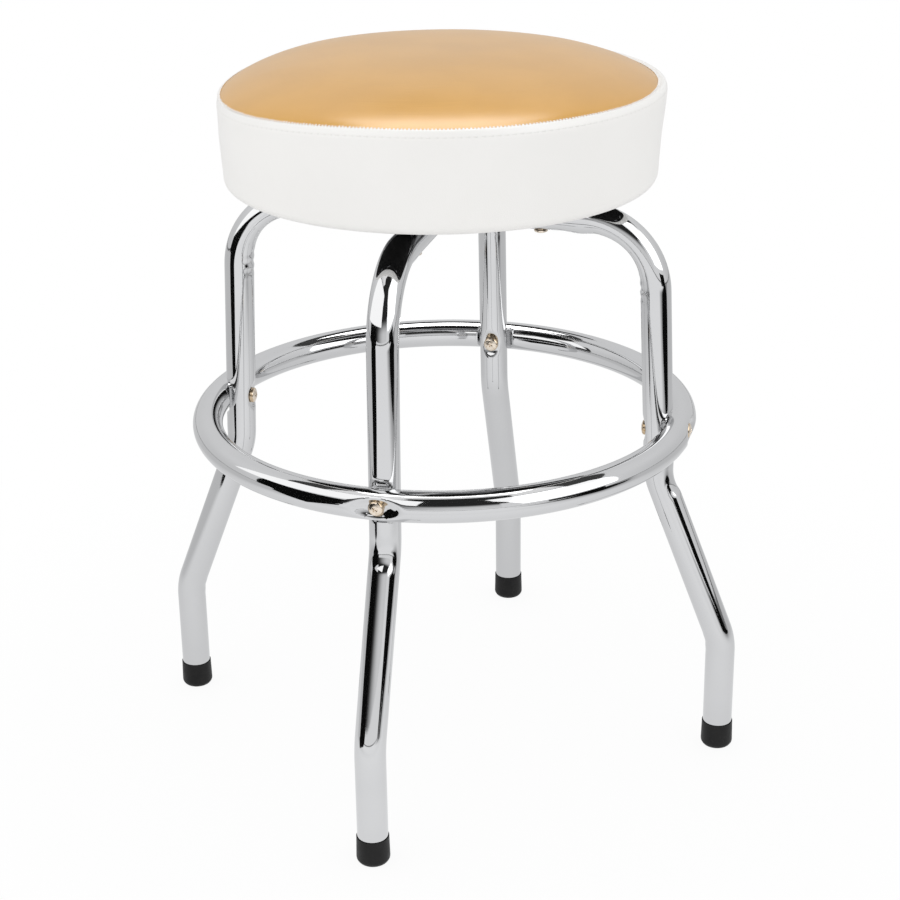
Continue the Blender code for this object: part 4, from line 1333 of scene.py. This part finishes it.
def white_floor():
    """White paper, with a soft shadow under the stool."""
    finish = new_glow("white_sweep")
    turn, distance = finish.around()
    paper = finish.node("BsdfDiffuse", None, {"Color": (0.90, 0.90, 0.90, 1.0)})
    lit = finish.node("Emission", None, {"Color": (1.0, 1.0, 1.0, 1.0), "Strength": 1.0})
    share = distance.ramp(0.30, 0.75, 0.92, 1.0)
    surface = finish.node("MixShader", None, {0: share * seen_directly(finish), 1: paper, 2: lit})
    finish.fill(finish.tree.nodes["Material Output"].inputs["Surface"], surface)
    work = bmesh.new()
    bmesh.ops.create_grid(work, x_segments=1, y_segments=1, size=FLOOR_REACH)
    shown("floor", mesh_from("floor", work), finish.owner)


def mirrored_floor():
    """The paper as the chrome sees it, dimmer away from the lamps at the front."""
    finish = new_glow("mirrored_sweep")
    right, near, up = studio_axes(finish)
    turn, distance = finish.around()
    dim = distance.ramp(0.50, 1.00) * near.ramp(0.90, 0.30)
    paper = finish.mix(near.ramp(-0.4, 0.6), cool(FLOOR_BACK), cool(FLOOR_FRONT))
    edge = right.ramp(0.55, 1.05) * near.ramp(0.05, 0.40) * near.ramp(1.80, 1.30)
    work = bmesh.new()
    bmesh.ops.create_grid(work, x_segments=1, y_segments=1, size=MIRROR_REACH)
    bmesh.ops.translate(work, verts=work.verts, vec=(0, 0, MIRROR_LIFT))
    dimmed = finish.mix(dim, paper, cool(FLOOR_FAR))
    mirror_only("mirrored_floor", work, shining(finish, finish.mix(edge, dimmed, cool(FLOOR_EDGE))))


def white_world():
    world = bpy.data.worlds.new("studio")
    bpy.context.scene.world = world
    finish = Finish(world)
    background = finish.tree.nodes["Background"]
    finish.fill(background.inputs["Color"], (1.0, 1.0, 1.0, 1.0))
    finish.fill(background.inputs["Strength"], AMBIENT)


def grey_walls():
    """The studio's grey walls as the chrome sees them, paler higher up, with a dark line along the floor."""
    finish = new_glow("studio_walls")
    right, near, up = studio_axes(finish)
    wall = finish.mix(near.ramp(-1.5, 2.5), cool(WALL_BACK), cool(WALL_FRONT))
    high = finish.mix(near.ramp(-3.2, -1.2), cool(WALL_HIGH_BACK), cool(WALL_HIGH))
    shade = finish.mix(up.ramp(0.3, WALL_PALE), wall, high)
    low = up.ramp(1.2 * SKIRTING, SKIRTING)
    work = turned([(WALL_REACH, 0.0), (WALL_REACH, WALL_HEIGHT)], 96)
    mirror_only("studio_walls", work, shining(finish, finish.mix(low, shade, cool(SKIRTING_LEVEL))))


def camera_side_finish():
    """The room behind the camera, darker upward and to the left."""
    finish = new_glow("camera_side")
    right, near, up = studio_axes(finish)
    light = right.ramp(-1.05, 0.15) * up.ramp(0.92, 0.52)
    return shining(finish, finish.mix(light, cool(DUSK_LEVEL), cool(ROOM_LEVEL)))


def build_studio():
    white_world()
    white_floor()
    mirrored_floor()
    grey_walls()
    softbox("fill_left", -70, 40, 50, 50, 0.20).visible_glossy = False
    softbox("fill_right", 70, 40, 50, 50, 0.12).visible_glossy = False
    mirrored_softbox("softbox_right", 54, 33, 48, 50, SOFTBOX_LEVEL)
    mirrored_softbox("softbox_top", 180, 76, 34, 30, TOP_LEVEL)
    cloth = plain_glow("softbox_cloth", SOFTBOX_LEVEL)
    black = plain_glow("black_card", BLACK_LEVEL)
    dusk = plain_glow("dark_room", DUSK_LEVEL)
    grey = plain_glow("grey_card", GREY_LEVEL)
    upright_card("softbox_left", LEFT_ENDS, LEFT_LOWS, LEFT_HIGH, cloth)
    upright_card("softbox_left_rim", LEFT_ENDS, [LEFT_HIGH, LEFT_HIGH], LEFT_HIGH + LEFT_RIM, black)
    card("dark_left", -63, 8, 46, 36, black)
    upright_card("camera_side", CAMERA_SIDE_ENDS, CAMERA_SIDE_LOWS, CAMERA_SIDE_HIGH, camera_side_finish())
    card("behind_camera", 11, 50, 32, 52, dusk)
    card("softbox_right_rim", 54, 59, 48, 1.5, black)
    card("dark_right", 56, -4, 27, 15, black)
    card("back_right", 130, 60, 78, 14, grey)
    card("back_left", -138, 62, 52, 13, grey)
    floor_card("dark_floor_left", DARK_LEFT_EDGE + DARK_LEFT_FAR, black)
    floor_card("dark_floor_right", DARK_RIGHT_EDGE + DARK_RIGHT_FAR, black)
    bpy.context.scene.view_settings.view_transform = "Standard"


def build_camera():
    lens = bpy.data.cameras.new("photo_camera")
    lens.lens = CAMERA_LENS
    lens.sensor_width = 36.0
    item = in_scene("photo_camera", lens)
    aim = (CAMERA_TARGET - CAMERA_PLACE).to_track_quat("-Z", "Y")
    item.matrix_world = Matrix.LocRotScale(CAMERA_PLACE, aim, None) @ Matrix.Rotation(CAMERA_ROLL, 4, "Z")
    bpy.context.scene.camera = item


build_camera()
build_studio()
build_stool()
